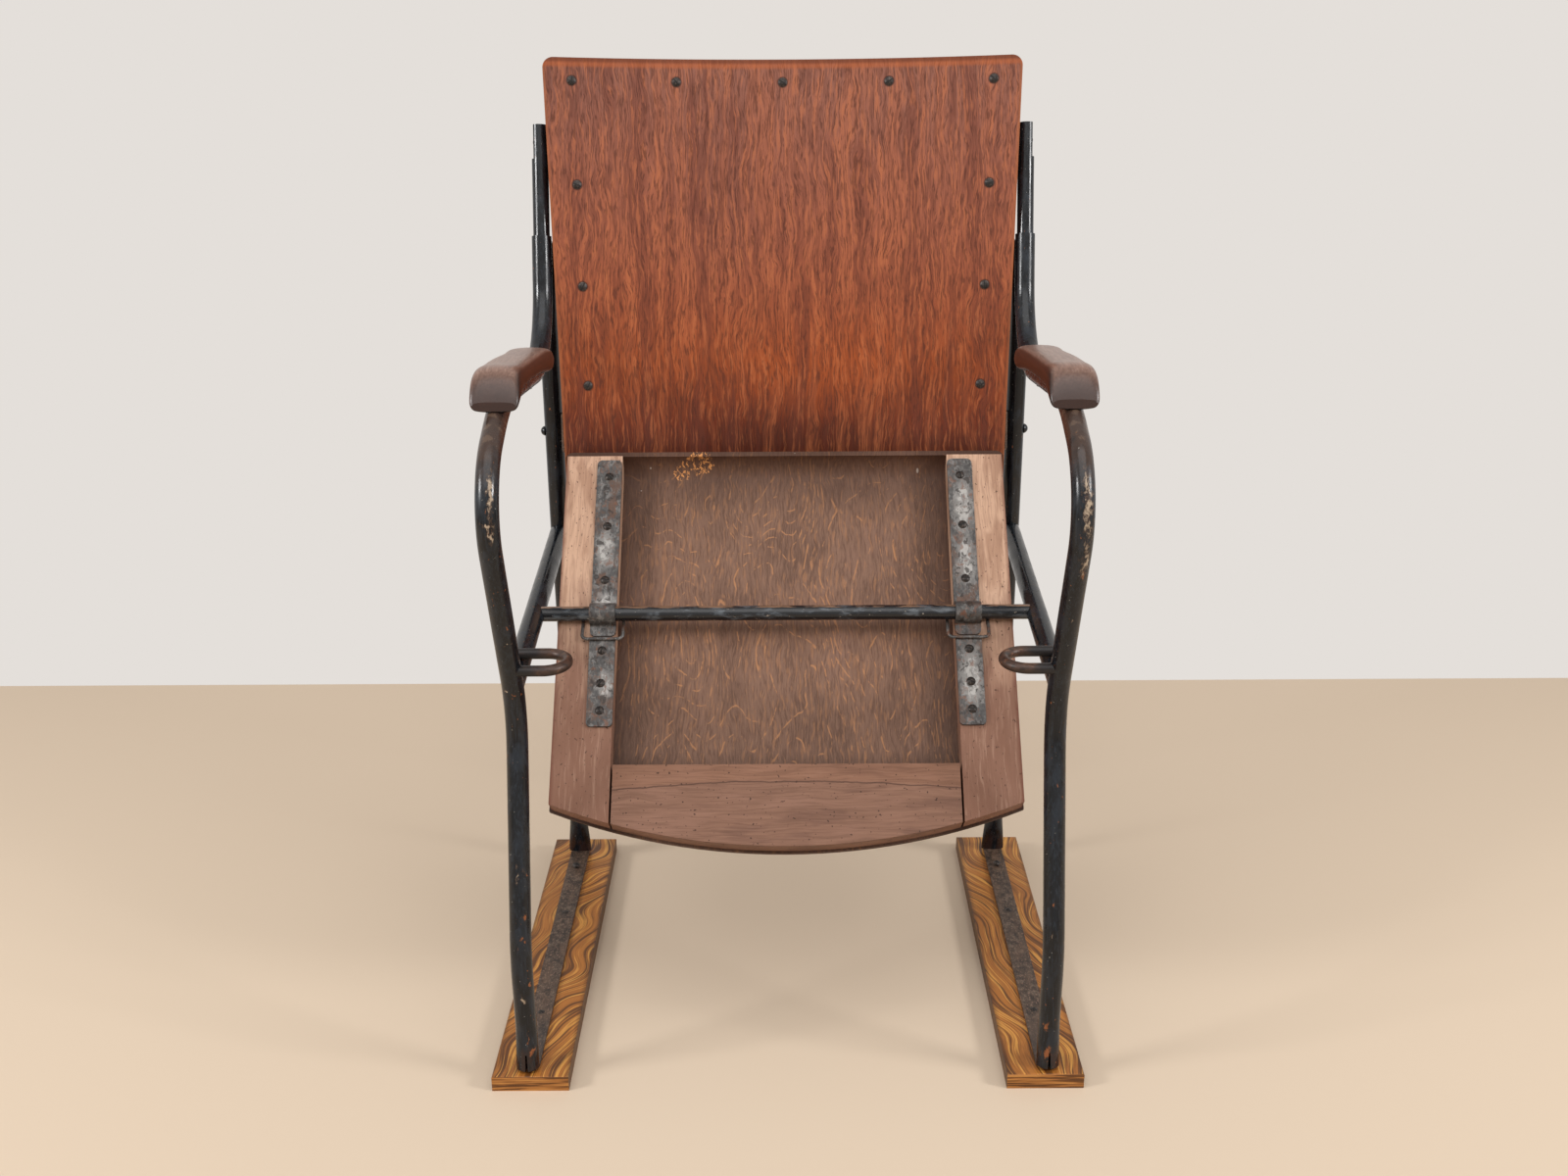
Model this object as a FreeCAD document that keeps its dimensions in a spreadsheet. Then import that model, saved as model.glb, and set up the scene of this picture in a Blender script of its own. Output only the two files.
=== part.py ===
import FreeCAD, Part
import math
import os

import Sketcher
from FreeCAD import Placement, Rotation, Vector

# Tip-up chair: a tubular steel side frame on each side, a plywood back,
# and a seat that turns about a cross rod.
# X runs to the right in a view from the front, Y from the front to the back,
# Z up from the floor. Left and right in the names are as seen from the front.
# Depths are first counted from the front foot and heights from the top of
# the wooden runners, then everything is moved so that the origin is at the
# middle of the footprint.

# Driving sizes in millimetres, angles in degrees.
SIZES = {
    # wooden floor runners, offset inward from the side frames
    "runner_width": 69.0,
    "runner_length": 436.0,
    "runner_thick": 15.0,
    "runner_offset": 3.0,
    "runner_front": 22.0,
    "runner_edge": 1.5,
    # flat iron under the feet
    "flat_width": 20.0,
    "flat_thick": 3.0,
    "flat_front": 12.0,
    "flat_length": 412.0,
    "flat_screw_first": 72.0,
    "flat_screw_second": 250.0,
    # side frames, bent from one size of tube, offset outward from the sides of the back
    "frame_offset": 0.665,
    "tube_size": 19.0,
    "tube_wall": 1.5,
    "front_foot_depth": -4.0,
    "shin_depth": -8.0,
    "shin_height": 115.0,
    "knee_depth": 53.0,
    "knee_height": 325.0,
    "brow_depth": -35.9,
    "brow_height": 546.1,
    "arm_depth": 75.4,
    "arm_height": 596.6,
    "arm_fall": 5.5,
    "upright_recline": 14.5,
    "tube_end_depth": 349.0,
    "tube_end_height": 693.0,
    "shin_radius": 150.0,
    "knee_radius": 110.0,
    "brow_radius": 65.0,
    "arm_radius": 150.0,
    "elbow_radius": 90.0,
    "foot_flattened": 40.0,
    "toe_reach": 15.0,
    "toe_width": 20.5,
    "toe_thick": 5.0,
    "toe_slit_width": 1.4,
    "toe_slit_depth": 5.0,
    "toe_slit_height": 16.0,
    "rear_foot_depth": 383.0,
    "hip_depth": 362.0,
    "hip_height": 400.0,
    "hip_radius": 120.0,
    "rear_leg_top": 686.0,
    "tongue_reach": 51.0,
    "tongue_thick": 3.4,
    "tongue_screw_inset": 11.0,
    # upper posts, telescoped into the arm tubes
    "post_clearance": 0.08,
    "post_wall": 1.5,
    "post_inserted": 38.0,
    "post_length": 143.0,
    "post_flat_length": 32.0,
    "post_flat_depth": 2.5,
    # rails, cross rod and the loops that carry the lowered seat
    "pivot_depth": 174.0,
    "pivot_height": 368.5,
    "rail_rise": 6.8,
    "rail_lead": 9.0,
    "rod_size": 14.0,
    "loop_wire": 9.5,
    "loop_pitch": 39.0,
    "loop_first": 32.0,
    "loop_tip": 182.8,
    "loop_clearance": 0.3,
    # wooden armrests, measured up from the axis of the tube under them
    "armrest_front": 42.0,
    "armrest_length": 220.0,
    "armrest_width": 41.0,
    "armrest_bulge": 44.0,
    "armrest_waist": 36.5,
    "armrest_thick": 20.7,
    "armrest_lift": 6.0,
    "armrest_nose_drop": 14.0,
    # seat, measured from the axis of the cross rod
    "tip_angle": 132.6,
    "rod_clearance": 0.1,
    "seat_front": 174.0,
    "seat_rear": 219.0,
    "seat_corner": 180.0,
    "seat_half_width": 212.5,
    "stile_width": 54.0,
    "seat_frame_thick": 20.0,
    "ply_thick": 5.0,
    "ply_overhang": 2.0,
    "ply_corner": 8.0,
    "rear_rail_start": 144.0,
    "rear_rail_gap": 2.0,
    # hinge straps of the seat, with their screws measured from the rod's axis
    "front_screw_far": 145.0,
    "front_screw_middle": 92.0,
    "front_screw_near": 36.0,
    "rear_screw_near": 35.0,
    "rear_screw_middle": 67.0,
    "rear_screw_far": 93.5,
    "strap_width": 24.0,
    "strap_thick": 3.0,
    "strap_offset": 11.7,
    "strap_front": 163.0,
    "strap_tail": 20.5,
    "rear_strap_start": 21.5,
    "rear_strap_end": 108.5,
    "link_wire": 3.0,
    "link_width": 38.0,
    "link_end": 25.0,
    "link_bend": 5.0,
    "link_gap": 0.8,
    # curved plywood back
    "back_recline": 9.0,
    "back_depth": 298.0,
    "back_bottom": 430.0,
    "back_length": 433.0,
    "back_half_bottom": 215.7,
    "back_half_top": 227.0,
    "back_hollow": 28.0,
    "back_ply": 8.0,
    "back_corner": 10.0,
    "back_frame_thick": 20.0,
    "back_stile_width": 34.0,
    "back_top_rail": 36.0,
    "back_bottom_rail": 45.0,
    "back_inset": 1.0,
    "screw_inset": 26.0,
    "screw_pitch": 96.0,
    "screw_top_margin": 21.0,
    "screw_bottom_margin": 28.0,
    "screw_columns": 102.0,
    # fasteners and the small gaps between pieces that touch
    "wood_screw": 4.0,
    "wood_screw_head": 8.5,
    "wood_screw_length": 18.0,
    "screw_lift": 0.12,
    "screw_cover": 3.0,
    "side_screw_tip": 12.0,
    "hole_clearance": 0.1,
    "contact_gap": 0.05,
    "cutter_reach": 60.0,
    "bolt_size": 6.0,
    "bolt_head": 10.0,
    "bracket_height": 497.0,
    "bracket_tall": 36.0,
    "bracket_thick": 3.0,
    "nut_size": 10.0,
    "nut_thick": 4.0,
}

SIDES = {"left": -1, "right": 1}

doc = FreeCAD.newDocument("tip_up_chair")
sheet = doc.addObject("Spreadsheet::Sheet", "Sizes")
row_count = 0
parts = {}


def store(alias, value):
    """Write one plain number into the sheet under its alias."""
    global row_count
    row_count += 1
    sheet.set("A%d" % row_count, alias)
    sheet.set("B%d" % row_count, repr(round(value, 6)))
    sheet.setAlias("B%d" % row_count, alias)


for size_name, size_value in SIZES.items():
    store(size_name, size_value)
doc.recompute()


def size(alias):
    """Read one size back from the sheet."""
    return float(sheet.get(alias))


def keep(node, thing):
    """Register a finished sub-part under its node name."""
    thing.Label = node
    parts[node] = thing
    return thing


def place(thing, across="0", depth="0", height="0"):
    """Bind the place of a piece to the sheet, in the chair's own frame."""
    thing.setExpression("Placement.Base.x", across)
    thing.setExpression("Placement.Base.y", "%s - Sizes.mid_depth" % depth)
    thing.setExpression("Placement.Base.z", "%s + Sizes.runner_thick" % height)
    return thing


def solid_feature(name, shape):
    """A feature that holds a shape made with Part's own functions."""
    thing = doc.addObject("Part::Feature", name)
    thing.Shape = shape
    return thing


# Derived values

TUBE_R = size("tube_size") / 2
BORE_R = TUBE_R - size("tube_wall")
POST_R = BORE_R - size("post_clearance")
ROD_R = size("rod_size") / 2
SOLE = size("flat_thick")
UNDERSIDE = ROD_R + size("rod_clearance")
HALF_WIDTH_RATE = (size("back_half_top") - size("back_half_bottom")) / size("back_length")
BACK_R = (size("back_half_top") ** 2 + size("back_hollow") ** 2) / (2 * size("back_hollow"))
BACK_CENTRE = size("back_hollow") - BACK_R
RECLINE = math.radians(size("back_recline"))
SEAT_BOW = size("seat_rear") - size("seat_corner")
SEAT_REAR_R = (size("seat_half_width") ** 2 + SEAT_BOW ** 2) / (2 * SEAT_BOW)


def side_point(depth, height):
    """A point in the plane of a side frame."""
    return Vector(0, depth, height)


def local_back_point(point):
    """A point of the side plane, as distance behind and height on the back."""
    offset = point - side_point(size("back_depth"), size("back_bottom"))
    behind = offset.y * math.cos(RECLINE) - offset.z * math.sin(RECLINE)
    height = offset.y * math.sin(RECLINE) + offset.z * math.cos(RECLINE)
    return behind, height


def back_half_at(height):
    """Half width of the back at a height above its foot."""
    return size("back_half_bottom") + HALF_WIDTH_RATE * height


def arm_tube_points():
    """Corner points of the tube that makes front leg, arm and upright."""
    recline = math.radians(size("upright_recline"))
    fall = math.tan(math.radians(size("arm_fall")))
    foot = side_point(size("front_foot_depth"), SOLE)
    shin = side_point(size("shin_depth"), size("shin_height"))
    knee = side_point(size("knee_depth"), size("knee_height"))
    brow = side_point(size("brow_depth"), size("brow_height"))
    arm = side_point(size("arm_depth"), size("arm_height"))
    end = side_point(size("tube_end_depth"), size("tube_end_height"))
    rise = (end.z - arm.z + fall * (end.y - arm.y)) / (1 + fall * math.tan(recline))
    elbow = side_point(end.y - rise * math.tan(recline), end.z - rise)
    return [foot, shin, knee, brow, arm, elbow, end]


def bend_centre(before, corner, after, radius):
    """Centre of the arc that rounds a corner between two straight runs."""
    back = (before - corner).normalize()
    ahead = (after - corner).normalize()
    return corner + (back + ahead).normalize() * (radius / math.sin(back.getAngle(ahead) / 2))


ARM_POINTS = arm_tube_points()
ARM_RADII = [size(name) for name in (
    "shin_radius", "knee_radius", "brow_radius", "arm_radius", "elbow_radius")]
UPRIGHT = (ARM_POINTS[-1] - ARM_POINTS[-2]).normalize()
POST_TOP = ARM_POINTS[-1] + UPRIGHT * (size("post_length") - size("post_inserted"))
ARM_UP = side_point(math.sin(math.radians(size("arm_fall"))), math.cos(math.radians(size("arm_fall"))))


def frame_plane():
    """Distance across of a side frame, beside the back and the seat where they come closest."""
    reaches = [back_half_at(0) + TUBE_R,
               back_half_at(local_back_point(ARM_POINTS[-1])[1]) + TUBE_R,
               back_half_at(local_back_point(POST_TOP)[1]) + POST_R,
               size("seat_half_width") + size("ply_overhang") + TUBE_R]
    return max(reaches) + size("frame_offset")


def middle_depth():
    """Middle of the chair's depth, from the brow of the arm tube to the top of the back."""
    brow = bend_centre(*ARM_POINTS[2:5], size("brow_radius"))
    foremost = max(size("runner_front"), size("brow_radius") + TUBE_R - brow.y)
    rearmost = (size("back_depth") + (size("back_length") - size("back_corner")) * math.sin(RECLINE)
                + (size("back_hollow") + size("back_ply") + size("back_frame_thick"))
                * math.cos(RECLINE))
    return (rearmost - foremost) / 2


for derived_name, derived_value in {
    "mid_depth": middle_depth(),
    "frame_plane": frame_plane(),
    "strap_plane": size("seat_half_width") - size("stile_width") + size("strap_offset"),
    "underside": UNDERSIDE,
    "back_radius": BACK_R,
    "back_centre": BACK_CENTRE,
    "seat_rear_radius": SEAT_REAR_R,
    "half_width_rate": HALF_WIDTH_RATE,
}.items():
    store(derived_name, derived_value)
doc.recompute()


# Sketches and bodies

def outline_sketch(body, name, role, corners, circles=()):
    """Closed outline whose corners are pairs of sheet expressions."""
    sketch = body.newObject("Sketcher::SketchObject", name)
    plane = [item for item in body.Origin.OriginFeatures if item.Role == role][0]
    sketch.AttachmentSupport = [(plane, "")]
    sketch.MapMode = "FlatFace"
    count = len(corners)
    # the points start on a ring and are then moved to their expressions
    ring_radius = size("cutter_reach")
    ring = []
    for index in range(count):
        turn = 2 * math.pi * index / count + 0.3
        ring.append(Vector(ring_radius * math.cos(turn), ring_radius * math.sin(turn), 0))
    for index in range(count):
        sketch.addGeometry(Part.LineSegment(ring[index], ring[(index + 1) % count]))
    for index in range(count):
        sketch.addConstraint(Sketcher.Constraint("Coincident", index, 2, (index + 1) % count, 1))
    for index, (across, along) in enumerate(corners):
        bind(sketch, "DistanceX", index, 1, ring[index].x, across)
        bind(sketch, "DistanceY", index, 1, ring[index].y, along)
    for across, along, radius in circles:
        index = sketch.addGeometry(Part.Circle(Vector(1, 1, 0), Vector(0, 0, 1), 2))
        bind(sketch, "DistanceX", index, 3, 1, across)
        bind(sketch, "DistanceY", index, 3, 1, along)
        spot = sketch.addConstraint(Sketcher.Constraint("Radius", index, 2))
        sketch.setExpression("Constraints[%d]" % spot, radius)
    return sketch


def bind(sketch, kind, item, point, value, expression):
    """Tie one coordinate of a sketch point to a sheet expression."""
    spot = sketch.addConstraint(Sketcher.Constraint(kind, -1, 1, item, point, value))
    sketch.setExpression("Constraints[%d]" % spot, expression)


def padded(name, role, corners, length, circles=(), midplane=False):
    """A body with one padded outline."""
    body = doc.addObject("PartDesign::Body", name)
    sketch = outline_sketch(body, name + "_outline", role, corners, circles)
    pad = body.newObject("PartDesign::Pad", name + "_pad")
    pad.Profile = sketch
    pad.Midplane = midplane
    pad.setExpression("Length", length)
    return body


def rectangle(left, right, near, far):
    """Corner expressions of an upright rectangle."""
    return [(left, near), (right, near), (right, far), (left, far)]


def edge_names(shape, wanted):
    """Names of the edges whose middle point passes the test."""
    names = []
    for index, edge in enumerate(shape.Edges):
        middle = edge.valueAt((edge.FirstParameter + edge.LastParameter) / 2)
        if wanted(edge, middle):
            names.append("Edge%d" % (index + 1))
    return names


def upright_edge(edge):
    """True for a straight edge that runs along Z."""
    first, last = edge.Vertexes[0].Point, edge.Vertexes[-1].Point
    return abs(first.x - last.x) < 1e-6 and abs(first.y - last.y) < 1e-6


def rounded(body, name, radius, wanted):
    """Fillet the edges of a body that pass the test."""
    doc.recompute()
    base = body.Tip
    names = edge_names(base.Shape, wanted)
    fillet = body.newObject("PartDesign::Fillet", name)
    fillet.Base = (base, names)
    fillet.setExpression("Radius", radius)
    body.Tip = fillet
    return fillet


def bored(body, name, circles, top, depth):
    """Pocket round holes down into a body from a level plane at its top."""
    sketch = outline_sketch(body, name + "_centres", "XY_Plane", [], circles)
    sketch.setExpression("AttachmentOffset.Base.z", top)
    pocket = body.newObject("PartDesign::Pocket", name)
    pocket.Profile = sketch
    pocket.setExpression("Length", depth)
    return pocket


def difference(node, base, tools):
    """Cut one or more tools from a base."""
    result = base
    for index, tool in enumerate(tools):
        cut = doc.addObject("Part::Cut", "%s_cut_%d" % (node, index + 1))
        cut.Base = result
        cut.Tool = tool
        result = cut
    return result


def shared(node, first, second):
    """The volume that two shapes have in common."""
    common = doc.addObject("Part::Common", node + "_common")
    common.Base = first
    common.Tool = second
    return common


# Bent tubes

def route(points, radii):
    """Straight runs joined by tangent arcs; one radius for each inner point."""
    edges = []
    start = points[0]
    for index, radius in enumerate(radii):
        corner = points[index + 1]
        back = (points[index] - corner).normalize()
        ahead = (points[index + 2] - corner).normalize()
        reach = radius / math.tan(back.getAngle(ahead) / 2)
        first = corner + back * reach
        last = corner + ahead * reach
        centre = bend_centre(points[index], corner, points[index + 2], radius)
        middle = centre + (corner - centre).normalize() * radius
        edges.append(Part.LineSegment(start, first).toShape())
        edges.append(Part.Arc(first, middle, last).toShape())
        start = last
    edges.append(Part.LineSegment(start, points[-1]).toShape())
    return Part.Wire(edges)


def swept(path, radius):
    """A round bar along a route."""
    start = path.Edges[0]
    tangent = start.tangentAt(start.FirstParameter)
    section = Part.Wire(Part.Circle(start.valueAt(start.FirstParameter), tangent, radius).toShape())
    bar = path.makePipeShell([section], True, False)
    expected = math.pi * radius ** 2 * path.Length
    if abs(bar.Volume - expected) > 0.01 * expected:
        raise ValueError("a swept bar has the wrong volume")
    return bar


def oval(depth, height, half_across, half_deep):
    """A level oval section of a flattened tube."""
    if half_across > half_deep:
        curve = Part.Ellipse(side_point(depth, height), half_across, half_deep)
    else:
        curve = Part.Circle(side_point(depth, height), Vector(0, 0, 1), half_across)
    return Part.Wire(curve.toShape())


def along(start, end, height):
    """The point at a height on the line from one point to another."""
    share = (height - start.z) / (end.z - start.z)
    return start + (end - start) * share


def arm_tube_route():
    """The round stretch of the arm tube, from above the foot to its open end."""
    points = list(ARM_POINTS)
    points[0] = along(points[0], points[1], SOLE + size("foot_flattened"))
    return route(points, ARM_RADII)


def rear_leg_route():
    """The round stretch of the rear leg."""
    foot = side_point(size("rear_foot_depth"), SOLE)
    hip = side_point(size("hip_depth"), size("hip_height"))
    top = side_point(size("hip_depth"), size("rear_leg_top"))
    foot = along(foot, hip, SOLE + size("foot_flattened"))
    return route([foot, hip, top], [size("hip_radius")])


def front_foot():
    """Flattened end of the arm tube, drawn forward to a toe with a slit down its front."""
    top = along(ARM_POINTS[0], ARM_POINTS[1], SOLE + size("foot_flattened"))
    toe_front = size("front_foot_depth") - size("toe_reach")
    half = size("toe_width") / 2
    sections = []
    for height, setback, across in ((0, 0, 1.0), (size("toe_thick"), 0.4, 0.99),
                                    (size("foot_flattened") * 0.55, 2.6, 0.96)):
        deep = 2 * TUBE_R - half * across
        sections.append(oval(toe_front + setback + deep, SOLE + height, half * across, deep))
    sections.append(Part.Wire(Part.Circle(top, (ARM_POINTS[1] - ARM_POINTS[0]).normalize(),
                                          TUBE_R).toShape()))
    foot = Part.makeLoft(sections, True, False)
    mouth = size("toe_slit_width")
    corners = [Vector(-mouth, toe_front - 1, SOLE - 1), Vector(mouth, toe_front - 1, SOLE - 1),
               Vector(0, toe_front + size("toe_slit_depth"), SOLE - 1)]
    slit = Part.Face(Part.makePolygon(corners + corners[:1]))
    return foot.cut(slit.extrude(Vector(0, 0, size("toe_slit_height") + 1)))


def rear_foot():
    """Flattened end of the rear leg with a tongue that lies on the flat iron."""
    foot = side_point(size("rear_foot_depth"), SOLE)
    hip = side_point(size("hip_depth"), size("hip_height"))
    top = along(foot, hip, SOLE + size("foot_flattened"))
    thick = size("tongue_thick")
    half = TUBE_R * 1.28
    sections = [
        oval(foot.y - 0.2, SOLE, half, thick * 0.9),
        oval(foot.y - 0.6, SOLE + size("foot_flattened") * 0.3, half * 0.97, thick * 1.15),
        oval(foot.y - 1.4, SOLE + size("foot_flattened") * 0.7, half * 0.86, TUBE_R * 0.8),
        Part.Wire(Part.Circle(top, (hip - foot).normalize(), TUBE_R).toShape()),
    ]
    leg_end = Part.makeLoft(sections, True, False)
    tongue_front = foot.y - size("tongue_reach")
    tongue = Part.makeBox(2 * half, size("tongue_reach"), thick, Vector(-half, tongue_front, SOLE))
    tongue = tongue.makeFillet(6, [edge for edge in tongue.Edges if upright_edge(edge)
                                   and edge.Vertexes[0].Point.y < tongue_front + 1])
    return leg_end.fuse(tongue)


def rear_screw_depth():
    """Depth of the screw through the tongue of the rear foot."""
    return size("rear_foot_depth") - size("tongue_reach") + size("tongue_screw_inset")


def rail_line():
    """Start and end of the rail's axis, at the axes of the two legs."""
    slope = math.tan(math.radians(size("rail_rise")))
    front_depth = size("knee_depth") - size("rail_lead")
    rear_depth = size("hip_depth")
    front = side_point(front_depth, size("pivot_height") + slope * (front_depth - size("pivot_depth")))
    rear = side_point(rear_depth, size("pivot_height") + slope * (rear_depth - size("pivot_depth")))
    return front, rear


ARM_OUTER = swept(arm_tube_route(), TUBE_R)
REAR_OUTER = swept(rear_leg_route(), TUBE_R)
RAIL_FRONT, RAIL_REAR = rail_line()
RAIL_OUTER = Part.makeCylinder(TUBE_R, RAIL_FRONT.distanceToPoint(RAIL_REAR), RAIL_FRONT,
                               RAIL_REAR - RAIL_FRONT)
RAIL_BORE = Part.makeCylinder(BORE_R, RAIL_FRONT.distanceToPoint(RAIL_REAR), RAIL_FRONT,
                              RAIL_REAR - RAIL_FRONT)
BOLT_AXIS = side_point(size("hip_depth"), size("bracket_height"))
BOLT_HOLE_R = size("bolt_size") / 2 + size("hole_clearance")
SCREW_HOLE_R = size("wood_screw") / 2 + size("hole_clearance")


def side_bar(radius, centre, start, length):
    """A round bar along X through a point of the side plane."""
    return Part.makeCylinder(radius, length, Vector(start, centre.y, centre.z), Vector(1, 0, 0))


# Floor runners, flat irons and their screws

def make_runner(name, side):
    half = "Sizes.runner_width / 2"
    front = "-Sizes.runner_front"
    body = padded("runner_" + name, "XY_Plane",
                  rectangle("-" + half, half, front, front + " + Sizes.runner_length"),
                  "Sizes.runner_thick")
    top = size("runner_thick")
    rounded(body, "runner_%s_edges" % name, "Sizes.runner_edge",
            lambda edge, middle: abs(middle.z - top) < 1e-6)
    shift = "Sizes.runner_offset * %d" % side
    radius = "Sizes.wood_screw / 2 + Sizes.hole_clearance"
    holes = [(shift, depth, radius) for depth in floor_screw_depths()]
    bored(body, "runner_%s_holes" % name, holes, "Sizes.runner_thick",
          "Sizes.runner_thick - Sizes.screw_cover")
    place(body, "(Sizes.frame_plane - Sizes.runner_offset) * %d" % side, "0", "-Sizes.runner_thick")
    keep("runner_" + name, body)


def floor_screw_depths():
    """Expressions for the depths of the screws into a runner."""
    return ["Sizes.flat_screw_first", "Sizes.flat_screw_second",
            "Sizes.rear_foot_depth - Sizes.tongue_reach + Sizes.tongue_screw_inset"]


def make_flat_iron(name, side):
    half = "Sizes.flat_width / 2"
    front = "-Sizes.flat_front"
    body = padded("flat_iron_" + name, "XY_Plane",
                  rectangle("-" + half, half, front, front + " + Sizes.flat_length"),
                  "Sizes.flat_thick")
    rounded(body, "flat_iron_%s_ends" % name, "Sizes.flat_width * 0.3",
            lambda edge, middle: upright_edge(edge))
    radius = "Sizes.wood_screw / 2 + Sizes.hole_clearance"
    holes = [("0", depth, radius) for depth in floor_screw_depths()]
    bored(body, "flat_iron_%s_holes" % name, holes, "Sizes.flat_thick", "Sizes.flat_thick")
    place(body, "Sizes.frame_plane * %d" % side)
    keep("flat_iron_" + name, body)


def domed_screw(length, head_radius, head_rise, shank_radius):
    """A screw with a low domed head; the head sits on Z 0 and the shank goes down."""
    shank = Part.makeCylinder(shank_radius, length, Vector(0, 0, -length))
    dome_radius = (head_radius ** 2 + head_rise ** 2) / (2 * head_rise)
    ball = Part.makeSphere(dome_radius, Vector(0, 0, head_rise - dome_radius))
    cap = Part.makeCylinder(head_radius + 1, head_rise + 1)
    return shank.fuse(ball.common(cap)).removeSplitter()


def aimed(shape, base, direction):
    """A copy of a shape whose +Z is turned to a direction and moved to a base."""
    turned = shape.copy()
    turned.Placement = Placement(base, Rotation(Vector(0, 0, 1), direction))
    return turned


def make_floor_screws():
    head = size("wood_screw_head") / 2
    shank = size("wood_screw") / 2
    screws = []
    for side in SIDES.values():
        across = side * size("frame_plane")
        long_reach = SOLE + size("runner_thick") - size("screw_cover") - 1
        for depth in (size("flat_screw_first"), size("flat_screw_second")):
            screw = domed_screw(long_reach, head * 0.8, 1.2, shank)
            screws.append(aimed(screw, Vector(across, depth, SOLE), Vector(0, 0, 1)))
        tongue_top = SOLE + size("tongue_thick")
        screw = domed_screw(long_reach + size("tongue_thick"), head, 2.2, shank)
        screws.append(aimed(screw, Vector(across, rear_screw_depth(), tongue_top), Vector(0, 0, 1)))
    thing = solid_feature("floor_screws", Part.makeCompound(screws))
    keep("floor_screws", place(thing))


# Side frames

def make_arm_tube(name, side):
    bore = swept(arm_tube_route(), BORE_R)
    tube = ARM_OUTER.cut(bore).fuse(front_foot()).removeSplitter()
    thing = solid_feature("arm_tube_" + name, tube)
    keep("arm_tube_" + name, place(thing, "Sizes.frame_plane * %d" % side))


def make_rear_leg(name, side):
    wall_cap = size("tube_wall")
    bore = swept(rear_leg_route(), BORE_R)
    cap = Part.makeCylinder(TUBE_R, wall_cap, side_point(size("hip_depth"),
                                                         size("rear_leg_top") - wall_cap))
    leg = REAR_OUTER.cut(bore).fuse(cap).fuse(rear_foot()).cut(ARM_OUTER)
    leg = leg.cut(side_bar(BOLT_HOLE_R, BOLT_AXIS, -2 * TUBE_R, 4 * TUBE_R))
    hole = Part.makeCylinder(SCREW_HOLE_R, 20, side_point(rear_screw_depth(), -1))
    leg = leg.cut(hole).removeSplitter()
    thing = solid_feature("rear_leg_" + name, leg)
    keep("rear_leg_" + name, place(thing, "Sizes.frame_plane * %d" % side))


def make_back_post(name, side):
    """Upper post: a smaller tube with a filed flat at the top of its outer side."""
    start = ARM_POINTS[-1] - UPRIGHT * size("post_inserted")
    length = size("post_length")
    post = Part.makeCylinder(POST_R, length, start, UPRIGHT)
    post = post.cut(Part.makeCylinder(POST_R - size("post_wall"), length - size("post_wall"), start,
                                      UPRIGHT))
    reach = size("cutter_reach")
    flat = Part.makeBox(reach, reach, size("post_flat_length") * 1.5,
                        Vector(side * (POST_R - size("post_flat_depth")) - (reach if side < 0 else 0),
                               -reach / 2, -size("post_flat_length")))
    flat.Placement = Placement(POST_TOP, Rotation(Vector(0, 0, 1), UPRIGHT))
    post = post.cut(flat).cut(side_bar(SCREW_HOLE_R, post_screw_point(), -reach / 2, reach))
    thing = solid_feature("back_post_" + name, post.removeSplitter())
    keep("back_post_" + name, place(thing, "Sizes.frame_plane * %d" % side))


def post_screw_point():
    """Where the screw crosses the axis of the upper post."""
    reach = size("post_length") - size("post_inserted") - size("post_flat_length") * 0.5
    return ARM_POINTS[-1] + UPRIGHT * reach


def make_side_rail(name, side):
    rail = RAIL_OUTER.cut(RAIL_BORE).cut(ARM_OUTER).cut(REAR_OUTER)
    longest = max(rail.Solids, key=lambda item: item.Volume)
    thing = solid_feature("side_rail_" + name, longest)
    keep("side_rail_" + name, place(thing, "Sizes.frame_plane * %d" % side))


def make_pivot_rod():
    offset = size("frame_plane")
    pivot = side_point(size("pivot_depth"), size("pivot_height"))
    rod = side_bar(ROD_R, pivot, -offset, 2 * offset)
    for side in SIDES.values():
        rail = RAIL_OUTER.copy()
        rail.translate(Vector(side * offset, 0, 0))
        rod = rod.cut(rail)
    longest = max(rod.Solids, key=lambda item: item.Volume)
    keep("pivot_rod", place(solid_feature("pivot_rod", longest)))


def make_seat_rest_loop(name, side):
    """A loop of round bar on the leg and the rail, which carries the lowered seat."""
    bar_r = size("loop_wire") / 2
    height = size("pivot_height") + UNDERSIDE - size("loop_clearance") - bar_r
    half_pitch = size("loop_pitch") / 2
    first = size("loop_first")
    bend = size("loop_tip") + bar_r + half_pitch - size("frame_plane")
    outer = TUBE_R * 0.4
    ends = [Vector(side * outer, first, height), Vector(side * bend, first, height),
            Vector(side * (bend - half_pitch), first + half_pitch, height),
            Vector(side * bend, first + 2 * half_pitch, height),
            Vector(side * outer, first + 2 * half_pitch, height)]
    path = Part.Wire([Part.LineSegment(ends[0], ends[1]).toShape(),
                      Part.Arc(ends[1], ends[2], ends[3]).toShape(),
                      Part.LineSegment(ends[3], ends[4]).toShape()])
    loop = swept(path, bar_r).cut(ARM_OUTER).cut(RAIL_OUTER)
    longest = max(loop.Solids, key=lambda item: item.Volume)
    thing = solid_feature("seat_rest_loop_" + name, longest)
    keep("seat_rest_loop_" + name, place(thing, "Sizes.frame_plane * %d" % side))


# Armrests

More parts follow.
